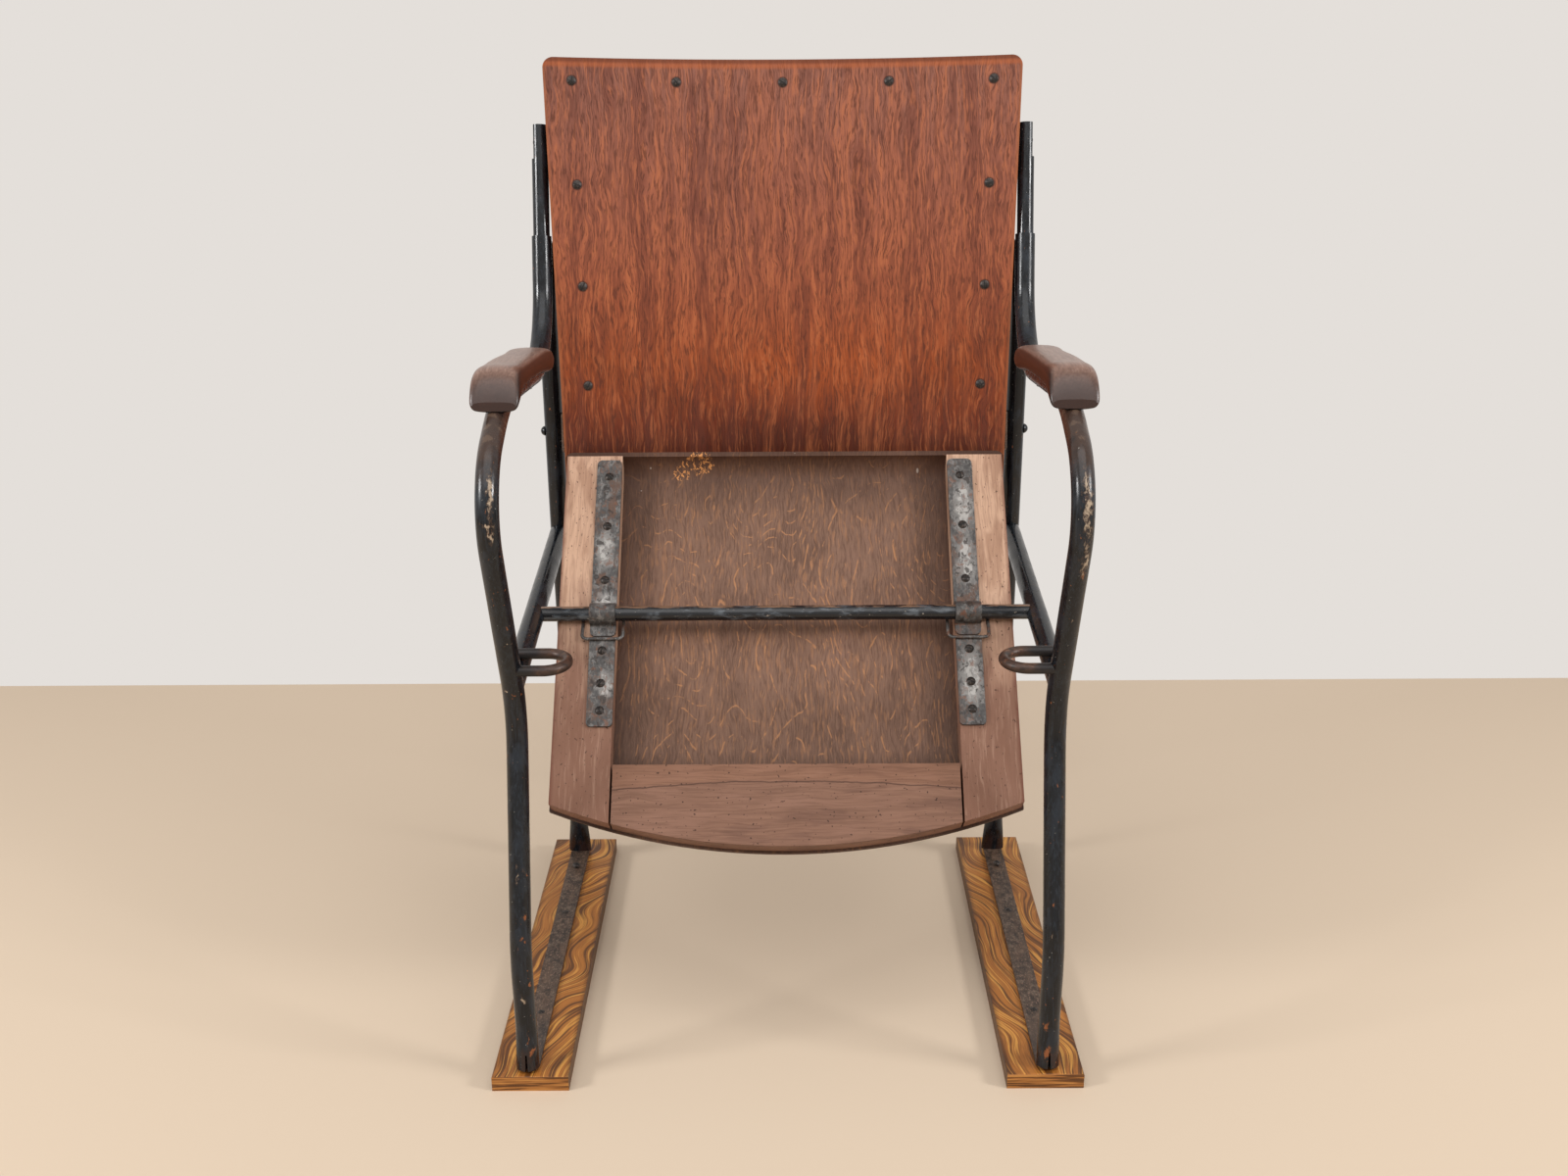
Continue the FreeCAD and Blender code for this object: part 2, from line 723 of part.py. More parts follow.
def armrest_section(along_arm, low, high, inner, outer):
    """A closed, softly squared section across the right armrest."""
    count = 16
    softness = 0.62
    points = []
    for step in range(count):
        turn = 2 * math.pi * (step + 0.5) / count
        across = math.copysign(abs(math.cos(turn)) ** softness, math.cos(turn))
        rise = math.copysign(abs(math.sin(turn)) ** softness, math.sin(turn))
        half = outer if across > 0 else inner
        points.append(Vector(across * half, along_arm, (low + high) / 2 + rise * (high - low) / 2))
    curve = Part.BSplineCurve()
    curve.interpolate(points, PeriodicFlag=True)
    return Part.Wire(curve.toShape())


def armrest_block():
    """The right armrest before it is let down over its tube, with its front at Y 0."""
    half = size("armrest_width") / 2
    waist = size("armrest_waist") / 2
    bulge = size("armrest_bulge") / 2
    lip = size("armrest_lift") - size("armrest_nose_drop")
    tall = size("armrest_thick") + size("armrest_nose_drop")
    # share of the length, share of the nose's drop, share of the full height, half widths
    stations = [
        (0.0, 0.08, 0.245, half * 0.86, half * 0.86),
        (0.009, 0.0, 0.41, half * 0.94, half * 0.94),
        (0.027, 0.03, 0.645, half * 0.98, half * 0.98),
        (0.064, 0.24, 0.88, half, half),
        (0.123, 0.66, 1.0, half, half),
        (0.205, 0.89, 1.0, half, half),
        (0.34, 1.0, 1.0, half, half),
        (0.52, 1.0, 1.0, half, half * 0.99),
        (0.664, 0.95, 1.0, half, waist),
        (0.818, 0.76, 0.985, half, bulge * 0.96),
        (0.918, 0.64, 0.94, half * 0.985, bulge),
        (0.973, 0.68, 0.88, half * 0.87, bulge * 0.88),
        (1.0, 0.95, 0.735, half * 0.56, bulge * 0.57),
    ]
    sections = [armrest_section(size("armrest_length") * share,
                                lip + size("armrest_nose_drop") * under, lip + tall * over,
                                inner, outer)
                for share, under, over, inner, outer in stations]
    return Part.makeLoft(sections, True, False)


def on_arm_line(depth):
    """The point at a depth on the straight line of the arm."""
    return side_point(depth, ARM_POINTS[4].z - (depth - ARM_POINTS[4].y) * ARM_UP.y / ARM_UP.z)


def make_armrest(name, side):
    """A shaped wooden block, let down over the arm tube."""
    block = armrest_block()
    if side < 0:
        block = block.mirror(Vector(0, 0, 0), Vector(1, 0, 0))
    block.Placement = Placement(on_arm_line(size("armrest_front")),
                                Rotation(Vector(1, 0, 0), -size("arm_fall")))
    block = block.cut(swept(arm_tube_route(), TUBE_R + size("contact_gap")))
    for spot in armrest_screw_points():
        block = block.cut(Part.makeCylinder(SCREW_HOLE_R, TUBE_R + 10, spot, ARM_UP))
    thing = solid_feature("armrest_" + name, max(block.Solids, key=lambda item: item.Volume))
    keep("armrest_" + name, place(thing, "Sizes.frame_plane * %d" % side))


def armrest_screw_points():
    """Points on the tube's axis under the armrest where the screws go up."""
    return [on_arm_line(size("armrest_front") + share * size("armrest_length"))
            for share in (0.38, 0.8)]


# Seat, drawn lowered with the rod's axis as its origin

def tipped(thing):
    """Bind a seat piece to the rod, turned up to the stored pose."""
    place(thing, "0", "Sizes.pivot_depth", "Sizes.pivot_height")
    thing.Placement = Placement(thing.Placement.Base, Rotation(Vector(1, 0, 0), -size("tip_angle")))
    thing.setExpression("Placement.Rotation.Axis.x", "1")
    thing.setExpression("Placement.Rotation.Axis.y", "0")
    thing.setExpression("Placement.Rotation.Axis.z", "0")
    thing.setExpression("Placement.Rotation.Angle", "-Sizes.tip_angle")
    return thing


def rear_edge_disc():
    """The large cylinder whose side is the curved rear edge of the seat."""
    disc = doc.addObject("Part::Cylinder", "seat_rear_edge")
    disc.setExpression("Radius", "Sizes.seat_rear_radius")
    disc.setExpression("Height", "Sizes.seat_frame_thick + 2 * Sizes.cutter_reach")
    disc.setExpression("Placement.Base.y", "Sizes.seat_rear - Sizes.seat_rear_radius")
    disc.setExpression("Placement.Base.z", "-Sizes.cutter_reach")
    return disc


def strap_screw_places():
    """Distances from the rod's axis of the screws in the two straps."""
    front = [-size("front_screw_" + place) for place in ("far", "middle", "near")]
    rear = [size("rear_screw_" + place) for place in ("near", "middle", "far")]
    return front + rear


def strap_holes():
    """Bars along the strap screws, used to drill the straps and the stiles."""
    bars = []
    for side in SIDES.values():
        for reach in strap_screw_places():
            bars.append(Part.makeCylinder(
                SCREW_HOLE_R, size("seat_frame_thick"),
                Vector(side * size("strap_plane"), reach, UNDERSIDE - size("strap_thick") - 1)))
    return solid_feature("strap_screw_holes", Part.makeCompound(bars))


def link_route(side):
    """Centre line of the wire link that holds the strap's tail, from the middle of its far side."""
    wire_r = size("link_wire") / 2
    half = size("link_width") / 2
    high = ROD_R + wire_r + size("link_gap")
    low = UNDERSIDE - size("strap_thick") - wire_r - size("contact_gap")
    far = size("link_end")
    bend = size("link_bend")
    tilt = Placement(Vector(side * size("strap_plane"), 0, high),
                     Rotation(Vector(1, 0, 0), math.degrees(math.asin((low - high) / far))))
    corners = [Vector(half, far, 0), Vector(half, 0, 0), Vector(-half, 0, 0), Vector(-half, far, 0)]
    middle_far = Vector(0, far, 0)
    edges = []
    start = middle_far
    for index, corner in enumerate(corners):
        before = middle_far if index == 0 else corners[index - 1]
        after = middle_far if index == 3 else corners[index + 1]
        back = (before - corner).normalize() * bend
        ahead = (after - corner).normalize() * bend
        first, last = corner + back, corner + ahead
        heart = corner + back + ahead
        middle = heart + (corner - heart).normalize() * bend
        edges.append(Part.LineSegment(tilt.multVec(start), tilt.multVec(first)).toShape())
        edges.append(Part.Arc(tilt.multVec(first), tilt.multVec(middle),
                              tilt.multVec(last)).toShape())
        start = last
    edges.append(Part.LineSegment(tilt.multVec(start), tilt.multVec(middle_far)).toShape())
    return Part.Wire(edges)


def make_seat():
    disc = rear_edge_disc()
    holes = strap_holes()
    for name, side in SIDES.items():
        make_seat_stile(name, side, disc, holes)
        make_front_strap(name, side, holes)
        make_rear_strap(name, side, holes)
        link = solid_feature("wire_link_" + name, swept(link_route(side), size("link_wire") / 2))
        keep("wire_link_" + name, tipped(link))
    make_seat_rear_rail(disc)
    make_seat_ply()
    make_strap_screws()


def make_seat_stile(name, side, disc, holes):
    outer = "Sizes.seat_half_width * %d" % side
    inner = "(Sizes.seat_half_width - Sizes.stile_width) * %d" % side
    front = "-Sizes.seat_front + Sizes.ply_thick"
    body = padded("seat_stile_%s_blank" % name, "XY_Plane",
                  rectangle(inner, outer, front, "Sizes.seat_rear"), "Sizes.seat_frame_thick")
    top = size("seat_frame_thick")
    front_depth = -size("seat_front") + size("ply_thick")
    rounded(body, "seat_stile_%s_nose" % name, "Sizes.seat_frame_thick - 0.1",
            lambda edge, middle: abs(middle.y - front_depth) < 1e-6 and abs(middle.z - top) < 1e-6)
    body.setExpression("Placement.Base.z", "Sizes.underside")
    groove_r = size("link_wire") / 2 + size("hole_clearance")
    groove = solid_feature("wire_link_groove_" + name, swept(link_route(side), groove_r))
    stile = shared("seat_stile_" + name, body, disc)
    keep("seat_stile_" + name, tipped(difference("seat_stile_" + name, stile, [holes, groove])))


def make_seat_rear_rail(disc):
    half = "(Sizes.seat_half_width - Sizes.stile_width - Sizes.rear_rail_gap)"
    body = padded("seat_rear_rail_blank", "XY_Plane",
                  rectangle("-" + half, half, "Sizes.rear_rail_start", "Sizes.seat_rear + 5"),
                  "Sizes.seat_frame_thick")
    body.setExpression("Placement.Base.z", "Sizes.underside")
    keep("seat_rear_rail", tipped(shared("seat_rear_rail", body, disc)))


def make_seat_ply():
    """Top sheet, rolled down over the front ends of the stiles."""
    over = size("ply_overhang")
    gap = size("contact_gap")
    half = size("seat_half_width") + over
    thick = size("ply_thick")
    frame = size("seat_frame_thick")
    roll_outer = frame + thick
    front = -size("seat_front") + roll_outer
    rear = size("seat_rear") + over
    end_turn = math.radians(4)
    centre = side_point(front, UNDERSIDE)

    def on_roll(radius, turn):
        return centre + side_point(-radius * math.cos(turn), radius * math.sin(turn))

    middle_turn = (math.pi / 2 + end_turn) / 2
    top = UNDERSIDE + frame + thick
    profile = Part.Wire([
        Part.LineSegment(side_point(rear, top), side_point(front, top)).toShape(),
        Part.Arc(side_point(front, top), on_roll(roll_outer, middle_turn),
                 on_roll(roll_outer, end_turn)).toShape(),
        Part.LineSegment(on_roll(roll_outer, end_turn), on_roll(frame + gap, end_turn)).toShape(),
        Part.Arc(on_roll(frame + gap, end_turn), on_roll(frame + gap, middle_turn),
                 side_point(front, top - thick + gap)).toShape(),
        Part.LineSegment(side_point(front, top - thick + gap),
                         side_point(rear, top - thick + gap)).toShape(),
        Part.LineSegment(side_point(rear, top - thick + gap), side_point(rear, top)).toShape(),
    ])
    profile.translate(Vector(-half, 0, 0))
    sheet_of_ply = Part.Face(profile).extrude(Vector(2 * half, 0, 0))
    reach = size("cutter_reach")
    disc = Part.makeCylinder(SEAT_REAR_R + over, frame + 2 * reach,
                             side_point(size("seat_rear") - SEAT_REAR_R, -reach))
    sheet_of_ply = sheet_of_ply.common(disc)
    # each front corner loses what lies outside a round that stands just proud of the two edges
    corner = size("ply_corner")
    for side in SIDES.values():
        heart = Vector(side * (half - corner), corner - size("seat_front"), -reach)
        block = Part.makeBox(2 * corner, 2 * corner, frame + 2 * reach,
                             heart + Vector((side - 1) * corner, -2 * corner, 0))
        sheet_of_ply = sheet_of_ply.cut(block.cut(Part.makeCylinder(corner + gap, frame + 2 * reach,
                                                                    heart)))
    keep("seat_ply", tipped(solid_feature("seat_ply", sheet_of_ply)))


def strap_blank(side, first, last, hump):
    """Flat bar on the underside, with a half-round hump round the rod if asked."""
    low = UNDERSIDE - size("strap_thick")
    outer = UNDERSIDE + size("strap_thick")
    corners = [side_point(last, UNDERSIDE), side_point(last, low)]
    edges = []
    if hump:
        corners += [side_point(outer, low), side_point(outer, 0)]
        edges.append(Part.Arc(corners[-1], side_point(0, -outer), side_point(-outer, 0)).toShape())
        rest = [side_point(-outer, 0), side_point(-outer, low)]
    else:
        rest = []
    rest += [side_point(first, low), side_point(first, UNDERSIDE)]
    if hump:
        rest += [side_point(-UNDERSIDE, UNDERSIDE), side_point(-UNDERSIDE, 0)]
        inner_end = side_point(UNDERSIDE, 0)
        edges.append(Part.Arc(rest[-1], side_point(0, -UNDERSIDE), inner_end).toShape())
        edges.append(Part.makePolygon([inner_end, side_point(UNDERSIDE, UNDERSIDE), corners[0]]))
    else:
        corners += rest
        rest = [corners[-1], corners[0]]
    edges.append(Part.makePolygon(corners))
    edges.append(Part.makePolygon(rest))
    lines = [edge for item in edges for edge in item.Edges]
    profile = Part.Wire(Part.__sortEdges__(lines))
    width = size("strap_width")
    bar = Part.Face(profile).extrude(Vector(width, 0, 0))
    bar.translate(Vector(side * size("strap_plane") - width / 2, 0, 0))
    if hump:
        creases = [edge for edge in bar.Edges if abs(edge.Length - width) < 1e-6
                   and abs(abs(edge.Vertexes[0].Point.y) - outer) < 1e-6
                   and abs(edge.Vertexes[0].Point.z - low) < 1e-6]
        bar = bar.makeFillet(size("strap_thick") * 0.8, creases)
    return bar


def rounded_corners(shape, radius, depths):
    """Round the upright corners of a bar at the given ends."""
    edges = [edge for edge in shape.Edges if upright_edge(edge)
             and min(abs(edge.Vertexes[0].Point.y - depth) for depth in depths) < 1e-4]
    return shape.makeFillet(radius, edges)


def make_front_strap(name, side, holes):
    first, last = -size("strap_front"), size("strap_tail")
    bar = strap_blank(side, first, last, True)
    bar = rounded_corners(bar, 5, [first, last])
    blank = solid_feature("strap_front_%s_blank" % name, bar)
    keep("strap_front_" + name, tipped(difference("strap_front_" + name, blank, [holes])))


def make_rear_strap(name, side, holes):
    first, last = size("rear_strap_start"), size("rear_strap_end")
    bar = rounded_corners(strap_blank(side, first, last, False), 4, [first, last])
    blank = solid_feature("strap_rear_%s_blank" % name, bar)
    keep("strap_rear_" + name, tipped(difference("strap_rear_" + name, blank, [holes])))


def make_strap_screws():
    head = size("wood_screw_head") / 2
    screw = domed_screw(size("wood_screw_length"), head, 2.0, size("wood_screw") / 2)
    screws = []
    for side in SIDES.values():
        for reach in strap_screw_places():
            base = Vector(side * size("strap_plane"), reach, UNDERSIDE - size("strap_thick"))
            screws.append(aimed(screw, base, Vector(0, 0, -1)))
    keep("strap_screws", tipped(solid_feature("strap_screws", Part.makeCompound(screws))))


# Back, drawn with its front edges in the plane Y 0 and its foot at Z 0

def leaned(thing):
    """Bind a piece of the back to its place, leaning back."""
    place(thing, "0", "Sizes.back_depth", "Sizes.back_bottom")
    thing.Placement = Placement(thing.Placement.Base, Rotation(Vector(1, 0, 0), -size("back_recline")))
    thing.setExpression("Placement.Rotation.Axis.x", "1")
    thing.setExpression("Placement.Rotation.Axis.y", "0")
    thing.setExpression("Placement.Rotation.Axis.z", "0")
    thing.setExpression("Placement.Rotation.Angle", "-Sizes.back_recline")
    return thing


def back_ring(name, inner, outer):
    """A curved sheet: the ring between two upright cylinders."""
    cylinders = []
    for suffix, radius in (("outer", outer), ("inner", inner)):
        cylinder = doc.addObject("Part::Cylinder", "%s_%s" % (name, suffix))
        cylinder.setExpression("Radius", radius)
        cylinder.setExpression("Height", "Sizes.back_length + 2 * Sizes.cutter_reach")
        cylinder.setExpression("Placement.Base.y", "Sizes.back_centre")
        cylinder.setExpression("Placement.Base.z", "-Sizes.cutter_reach")
        cylinders.append(cylinder)
    return difference(name, cylinders[0], [cylinders[1]])


def half_width_at(height):
    """Expression for the half width of the back at a height above its foot."""
    return "(Sizes.back_half_bottom + Sizes.half_width_rate * (%s))" % height


def back_prism(name, corners):
    """An outline of the back, padded through its whole depth."""
    return padded(name + "_outline", "XZ_Plane", corners, "4 * Sizes.cutter_reach", (), True)


def back_screw_rows():
    """Heights of the rows of screws, one pitch apart from the top down to the bottom row."""
    bottom = size("screw_bottom_margin")
    height = size("back_length") - size("screw_top_margin")
    rows = []
    while height > bottom + size("screw_pitch") / 2:
        rows.append(height)
        height -= size("screw_pitch")
    return rows + [bottom]


def back_screw_spots():
    """Centre and inward direction of every screw, on the front of the panel."""
    rows = back_screw_rows()
    column = size("screw_columns")
    places = [(share * column, height) for height in (rows[0], rows[-1]) for share in (-1, 0, 1)]
    for height in rows:
        half = back_half_at(height) - size("screw_inset")
        places += [(-half, height), (half, height)]
    spots = []
    for across, height in places:
        turn = math.asin(across / BACK_R)
        base = Vector(BACK_R * math.sin(turn), BACK_CENTRE + BACK_R * math.cos(turn), height)
        spots.append((base, Vector(math.sin(turn), math.cos(turn), 0)))
    return spots


def side_screw_tips():
    """Distances across of the tips of the post's screw and the two bracket screws."""
    post_height = stile_screw_points()[0][1]
    bracket_tip = bracket_faces()[0] + size("bracket_thick") - size("wood_screw_length")
    post_tip = back_half_at(post_height) - size("back_inset") - size("side_screw_tip")
    return [post_tip, bracket_tip, bracket_tip]


def back_side_holes():
    """Bars along the screws that enter the stiles from the sides."""
    bars = []
    for side in SIDES.values():
        for tip, (behind, height) in zip(side_screw_tips(), stile_screw_points()):
            start = Vector(side * (tip - size("hole_clearance")), behind, height)
            bars.append(Part.makeCylinder(SCREW_HOLE_R, size("cutter_reach"), start, Vector(side, 0, 0)))
    return solid_feature("back_side_holes", Part.makeCompound(bars))


def stile_screw_points():
    """Places on the stile's side of the post's screw and the two bracket screws."""
    behind, height = local_back_point(BOLT_AXIS)
    middle = size("back_ply") + size("back_frame_thick") / 2 + 1
    return [local_back_point(post_screw_point())] + [
        (middle, height - size("bracket_tall") / 3), (middle, height + size("bracket_tall") / 3)]


def make_back():
    panel_radius = "Sizes.back_radius"
    ply_radius = panel_radius + " + Sizes.back_ply"
    frame_radius = ply_radius + " + Sizes.back_frame_thick"
    panel_ring = back_ring("back_panel_ring", panel_radius, ply_radius)
    frame_ring = back_ring("back_frame_ring", ply_radius, frame_radius)
    bars = []
    for base, inward in back_screw_spots():
        bars.append(Part.makeCylinder(SCREW_HOLE_R, size("wood_screw_length") + 4,
                                      base - inward, inward))
    holes = solid_feature("back_screw_holes", Part.makeCompound(bars))
    side_holes = back_side_holes()

    outline = back_prism("back_panel", [
        ("-Sizes.back_half_bottom", "0"), ("Sizes.back_half_bottom", "0"),
        ("Sizes.back_half_top", "Sizes.back_length"), ("-Sizes.back_half_top", "Sizes.back_length")])
    top = size("back_length")
    rounded(outline, "back_panel_corners", "Sizes.back_corner",
            lambda edge, middle: abs(middle.z - top) < 1e-6 and abs(edge.tangentAt(0).y) > 0.99)
    panel = shared("back_panel", panel_ring, outline)
    keep("back_panel", leaned(difference("back_panel", panel, [holes])))

    foot = "Sizes.back_inset"
    head = "(Sizes.back_length - Sizes.back_inset)"
    stile_top = "(Sizes.back_length - Sizes.back_corner)"
    for name, side in SIDES.items():
        outer = "(%s - Sizes.back_inset) * %d"
        inner = "(%s - Sizes.back_inset - Sizes.back_stile_width) * %d"
        corners = [(outer % (half_width_at(foot), side), foot),
                   (outer % (half_width_at(stile_top), side), stile_top),
                   (inner % (half_width_at(stile_top), side), stile_top),
                   (inner % (half_width_at(foot), side), foot)]
        node = "back_stile_" + name
        stile = shared(node, frame_ring, back_prism(node, corners))
        keep(node, leaned(difference(node, stile, [holes, side_holes])))

    inner_half = "(%s - Sizes.back_inset - Sizes.back_stile_width)"
    top_low = "(Sizes.back_length - Sizes.back_corner - Sizes.back_top_rail)"
    bottom_high = "(Sizes.back_bottom_rail)"
    for node, low, high in (("back_top_rail", top_low, stile_top),
                            ("back_bottom_rail", foot, bottom_high)):
        corners = [("-" + inner_half % half_width_at(low), low), (inner_half % half_width_at(low), low),
                   (inner_half % half_width_at(high), high),
                   ("-" + inner_half % half_width_at(high), high)]
        rail = shared(node, frame_ring, back_prism(node, corners))
        keep(node, leaned(difference(node, rail, [holes])))
    make_back_screws()
    for name, side in SIDES.items():
        make_back_bracket(name, side)
    make_side_screws()


def make_back_screws():
    head = size("wood_screw_head") / 2
    screw = domed_screw(size("wood_screw_length"), head, 1.2, size("wood_screw") / 2)
    # the dome of a screw on a hollow panel starts just clear of the sheet
    lift = size("screw_lift")
    screws = [aimed(screw, base - inward * lift, inward * -1) for base, inward in back_screw_spots()]
    keep("back_screws", leaned(solid_feature("back_screws", Part.makeCompound(screws))))


def bracket_faces():
    """Distances across of the bracket's face on the stile and its face on the leg."""
    height = local_back_point(BOLT_AXIS)[1]
    half_tall = size("bracket_tall") / 2
    widest = max(back_half_at(height - half_tall), back_half_at(height + half_tall))
    stile_face = widest - size("back_inset")
    leg_face = size("frame_plane") - TUBE_R
    return stile_face + size("hole_clearance"), leg_face - size("hole_clearance")


def make_back_bracket(name, side):
    """A joggled plate from the side of the stile to the inner side of the rear leg."""
    behind, height = local_back_point(BOLT_AXIS)
    near, far = bracket_faces()
    thick = size("bracket_thick")
    start = size("back_ply") + 4
    step = size("back_ply") + size("back_frame_thick")
    end = behind + size("bolt_head") * 0.85
    corners = [(near, start), (near + thick, start), (near + thick, step), (far, step + 7), (far, end),
               (far - thick, end), (far - thick, step + 8), (near, step + 1)]
    points = [Vector(side * across, back, height - size("bracket_tall") / 2) for across, back in corners]
    plate = Part.Face(Part.makePolygon(points + [points[0]])).extrude(
        Vector(0, 0, size("bracket_tall")))
    for back, up in stile_screw_points()[1:] + [(behind, height)]:
        radius = BOLT_HOLE_R if back == behind else SCREW_HOLE_R
        plate = plate.cut(Part.makeCylinder(radius, size("cutter_reach"),
                                            Vector(side * (near - thick), back, up), Vector(side, 0, 0)))
    keep("back_bracket_" + name, leaned(solid_feature("back_bracket_" + name, plate)))


def make_side_screws():
    """Bracket screws and post screws, into the sides of the stiles."""
    near = bracket_faces()[0]
    screws = []
    head = size("wood_screw_head") / 2
    for side in SIDES.values():
        outward = Vector(side, 0, 0)
        post, lower, upper = stile_screw_points()
        screw = domed_screw(size("wood_screw_length"), head * 0.8, 1.6, size("wood_screw") / 2)
        for behind, height in (lower, upper):
            base = Vector(side * (near + size("bracket_thick")), behind, height)
            screws.append(aimed(screw, base, outward))
        flat = size("frame_plane") + POST_R - size("post_flat_depth")
        long_screw = domed_screw(flat - side_screw_tips()[0], head * 0.7, 1.2,
                                 size("wood_screw") / 2)
        screws.append(aimed(long_screw, Vector(side * flat, post[0], post[1]), outward))
    keep("back_side_screws", leaned(solid_feature("back_side_screws", Part.makeCompound(screws))))


def make_bolts():
    """Round-headed bolts through the rear legs, each with a square nut inside."""
    far = bracket_faces()[1]
    bolts, nuts = [], []
    for side in SIDES.values():
        outer = size("frame_plane") + TUBE_R
        inner = far - size("bracket_thick")
        length = outer - inner + size("nut_thick") + 1.5
        bolt = domed_screw(length, size("bolt_head") / 2, size("bolt_head") * 0.42,
                           size("bolt_size") / 2)
        base = Vector(side * outer, BOLT_AXIS.y, BOLT_AXIS.z)
        bolts.append(aimed(bolt, base, Vector(side, 0, 0)))
        half = size("nut_size") / 2
        nut = Part.makeBox(size("nut_thick"), 2 * half, 2 * half,
                           Vector(inner - size("nut_thick"), -half, -half))
        nut = nut.cut(Part.makeCylinder(BOLT_HOLE_R, size("cutter_reach"),
                                        Vector(inner - size("cutter_reach") / 2, 0, 0), Vector(1, 0, 0)))
        if side < 0:
            nut = nut.mirror(Vector(0, 0, 0), Vector(1, 0, 0))
        nut.Placement = Placement(BOLT_AXIS, Rotation(Vector(1, 0, 0), -size("back_recline"))).multiply(
            nut.Placement)
        nuts.append(nut)
    keep("back_bolts", place(solid_feature("back_bolts", Part.makeCompound(bolts))))
    keep("back_nuts", place(solid_feature("back_nuts", Part.makeCompound(nuts))))


def make_armrest_screws():
    """Screws that go up through the arm tubes into the armrests."""
    screws = []
    for side in SIDES.values():
        for spot in armrest_screw_points():
            screw = domed_screw(TUBE_R * 2 + size("wood_screw_length") / 2,
                                size("wood_screw_head") * 0.4, 1.4, size("wood_screw") / 2)
            base = spot - ARM_UP * (TUBE_R + 0.3) + Vector(side * size("frame_plane"), 0, 0)
            screws.append(aimed(screw, base, ARM_UP * -1))
    keep("armrest_screws", place(solid_feature("armrest_screws", Part.makeCompound(screws))))


def drill_arm_tubes():
    """Holes for the armrest screws in both walls of the arm tubes."""
    for name in SIDES:
        tube = parts["arm_tube_" + name]
        shape = tube.Shape.copy()
        shape.Placement = Placement()
        for spot in armrest_screw_points():
            hole = Part.makeCylinder(SCREW_HOLE_R, 4 * TUBE_R, spot - ARM_UP * (2 * TUBE_R), ARM_UP)
            shape = shape.cut(hole)
        tube.Shape = shape


def build():
    for name, side in SIDES.items():
        make_runner(name, side)
        make_flat_iron(name, side)
        make_arm_tube(name, side)
        make_rear_leg(name, side)
        make_back_post(name, side)
        make_side_rail(name, side)
        make_seat_rest_loop(name, side)
        make_armrest(name, side)
    drill_arm_tubes()
    make_floor_screws()
    make_pivot_rod()
    make_armrest_screws()
    make_seat()
    make_back()
    make_bolts()
    doc.recompute()


def check_and_write():
    """Stop on any failed object or bad shape, then write one file for each node."""
    for thing in doc.Objects:
        if "Invalid" in thing.State or "Error" in thing.State:
            raise ValueError("%s failed to build" % thing.Label)
    for node, thing in parts.items():
        if thing.Shape.isNull() or not thing.Shape.isValid() or not thing.Shape.Solids:
            raise ValueError("%s has no valid solid" % node)
    os.makedirs("parts", exist_ok=True)
    for node, thing in parts.items():
        thing.Shape.exportStep(os.path.join("parts", node + ".step"))
        print("%s: %d solids, %.1f cm3" % (node, len(thing.Shape.Solids), thing.Shape.Volume / 1000))


build()
check_and_write()
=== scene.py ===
import math
import random

import bmesh
import bpy
import numpy as np
from mathutils import Matrix, Vector


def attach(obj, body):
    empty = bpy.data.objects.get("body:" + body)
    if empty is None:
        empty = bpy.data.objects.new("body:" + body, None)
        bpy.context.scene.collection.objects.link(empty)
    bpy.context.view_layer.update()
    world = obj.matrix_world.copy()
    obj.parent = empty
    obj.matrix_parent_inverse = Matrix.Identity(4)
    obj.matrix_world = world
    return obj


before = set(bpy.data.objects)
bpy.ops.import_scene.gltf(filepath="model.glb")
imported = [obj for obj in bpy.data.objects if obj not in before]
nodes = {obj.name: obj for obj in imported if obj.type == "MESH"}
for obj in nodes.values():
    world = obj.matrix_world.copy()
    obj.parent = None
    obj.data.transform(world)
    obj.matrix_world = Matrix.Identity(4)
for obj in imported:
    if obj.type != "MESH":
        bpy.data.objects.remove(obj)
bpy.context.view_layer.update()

# Floor runners: one board under each side frame, of oak stained golden brown
# and waxed. The growth lines sweep in long S curves with bright gold streaks
# between them; edges and sides are darker, and the ends show dark end grain.


def hex_colour(code):
    """An sRGB hex colour as linear red, green, blue and alpha."""
    parts = [int(code[index:index + 2], 16) / 255 for index in (1, 3, 5)]
    return tuple(p / 12.92 if p <= 0.04045 else ((p + 0.055) / 1.055) ** 2.4 for p in parts) + (1.0,)


def add(tree, kind, inputs=(), stops=(), **settings):
    """Add one shader node, with its settings, the stops of a ramp, and its values or links."""
    node = tree.nodes.new(kind)
    for name, value in settings.items():
        setattr(node, name, value)
    for index, (place, colour) in enumerate(stops):
        if index > 1:
            node.color_ramp.elements.new(place)
        node.color_ramp.elements[index].position = place
        node.color_ramp.elements[index].color = hex_colour(colour)
    for socket, value in dict(inputs).items():
        if isinstance(value, bpy.types.NodeSocket):
            tree.links.new(value, node.inputs[socket])
        else:
            node.inputs[socket].default_value = value
    return node


def new_finish(name):
    """A new material and its node tree, with nothing in it."""
    material = bpy.data.materials.new(name)
    material.use_nodes = True
    tree = material.node_tree
    tree.nodes.clear()
    return material, tree


def dress(material, *names):
    """Give CAD nodes a material by their object's slots."""
    for name in names:
        piece = nodes[name]
        if not piece.material_slots:
            piece.data.materials.append(None)
        for slot in piece.material_slots:
            slot.material = material


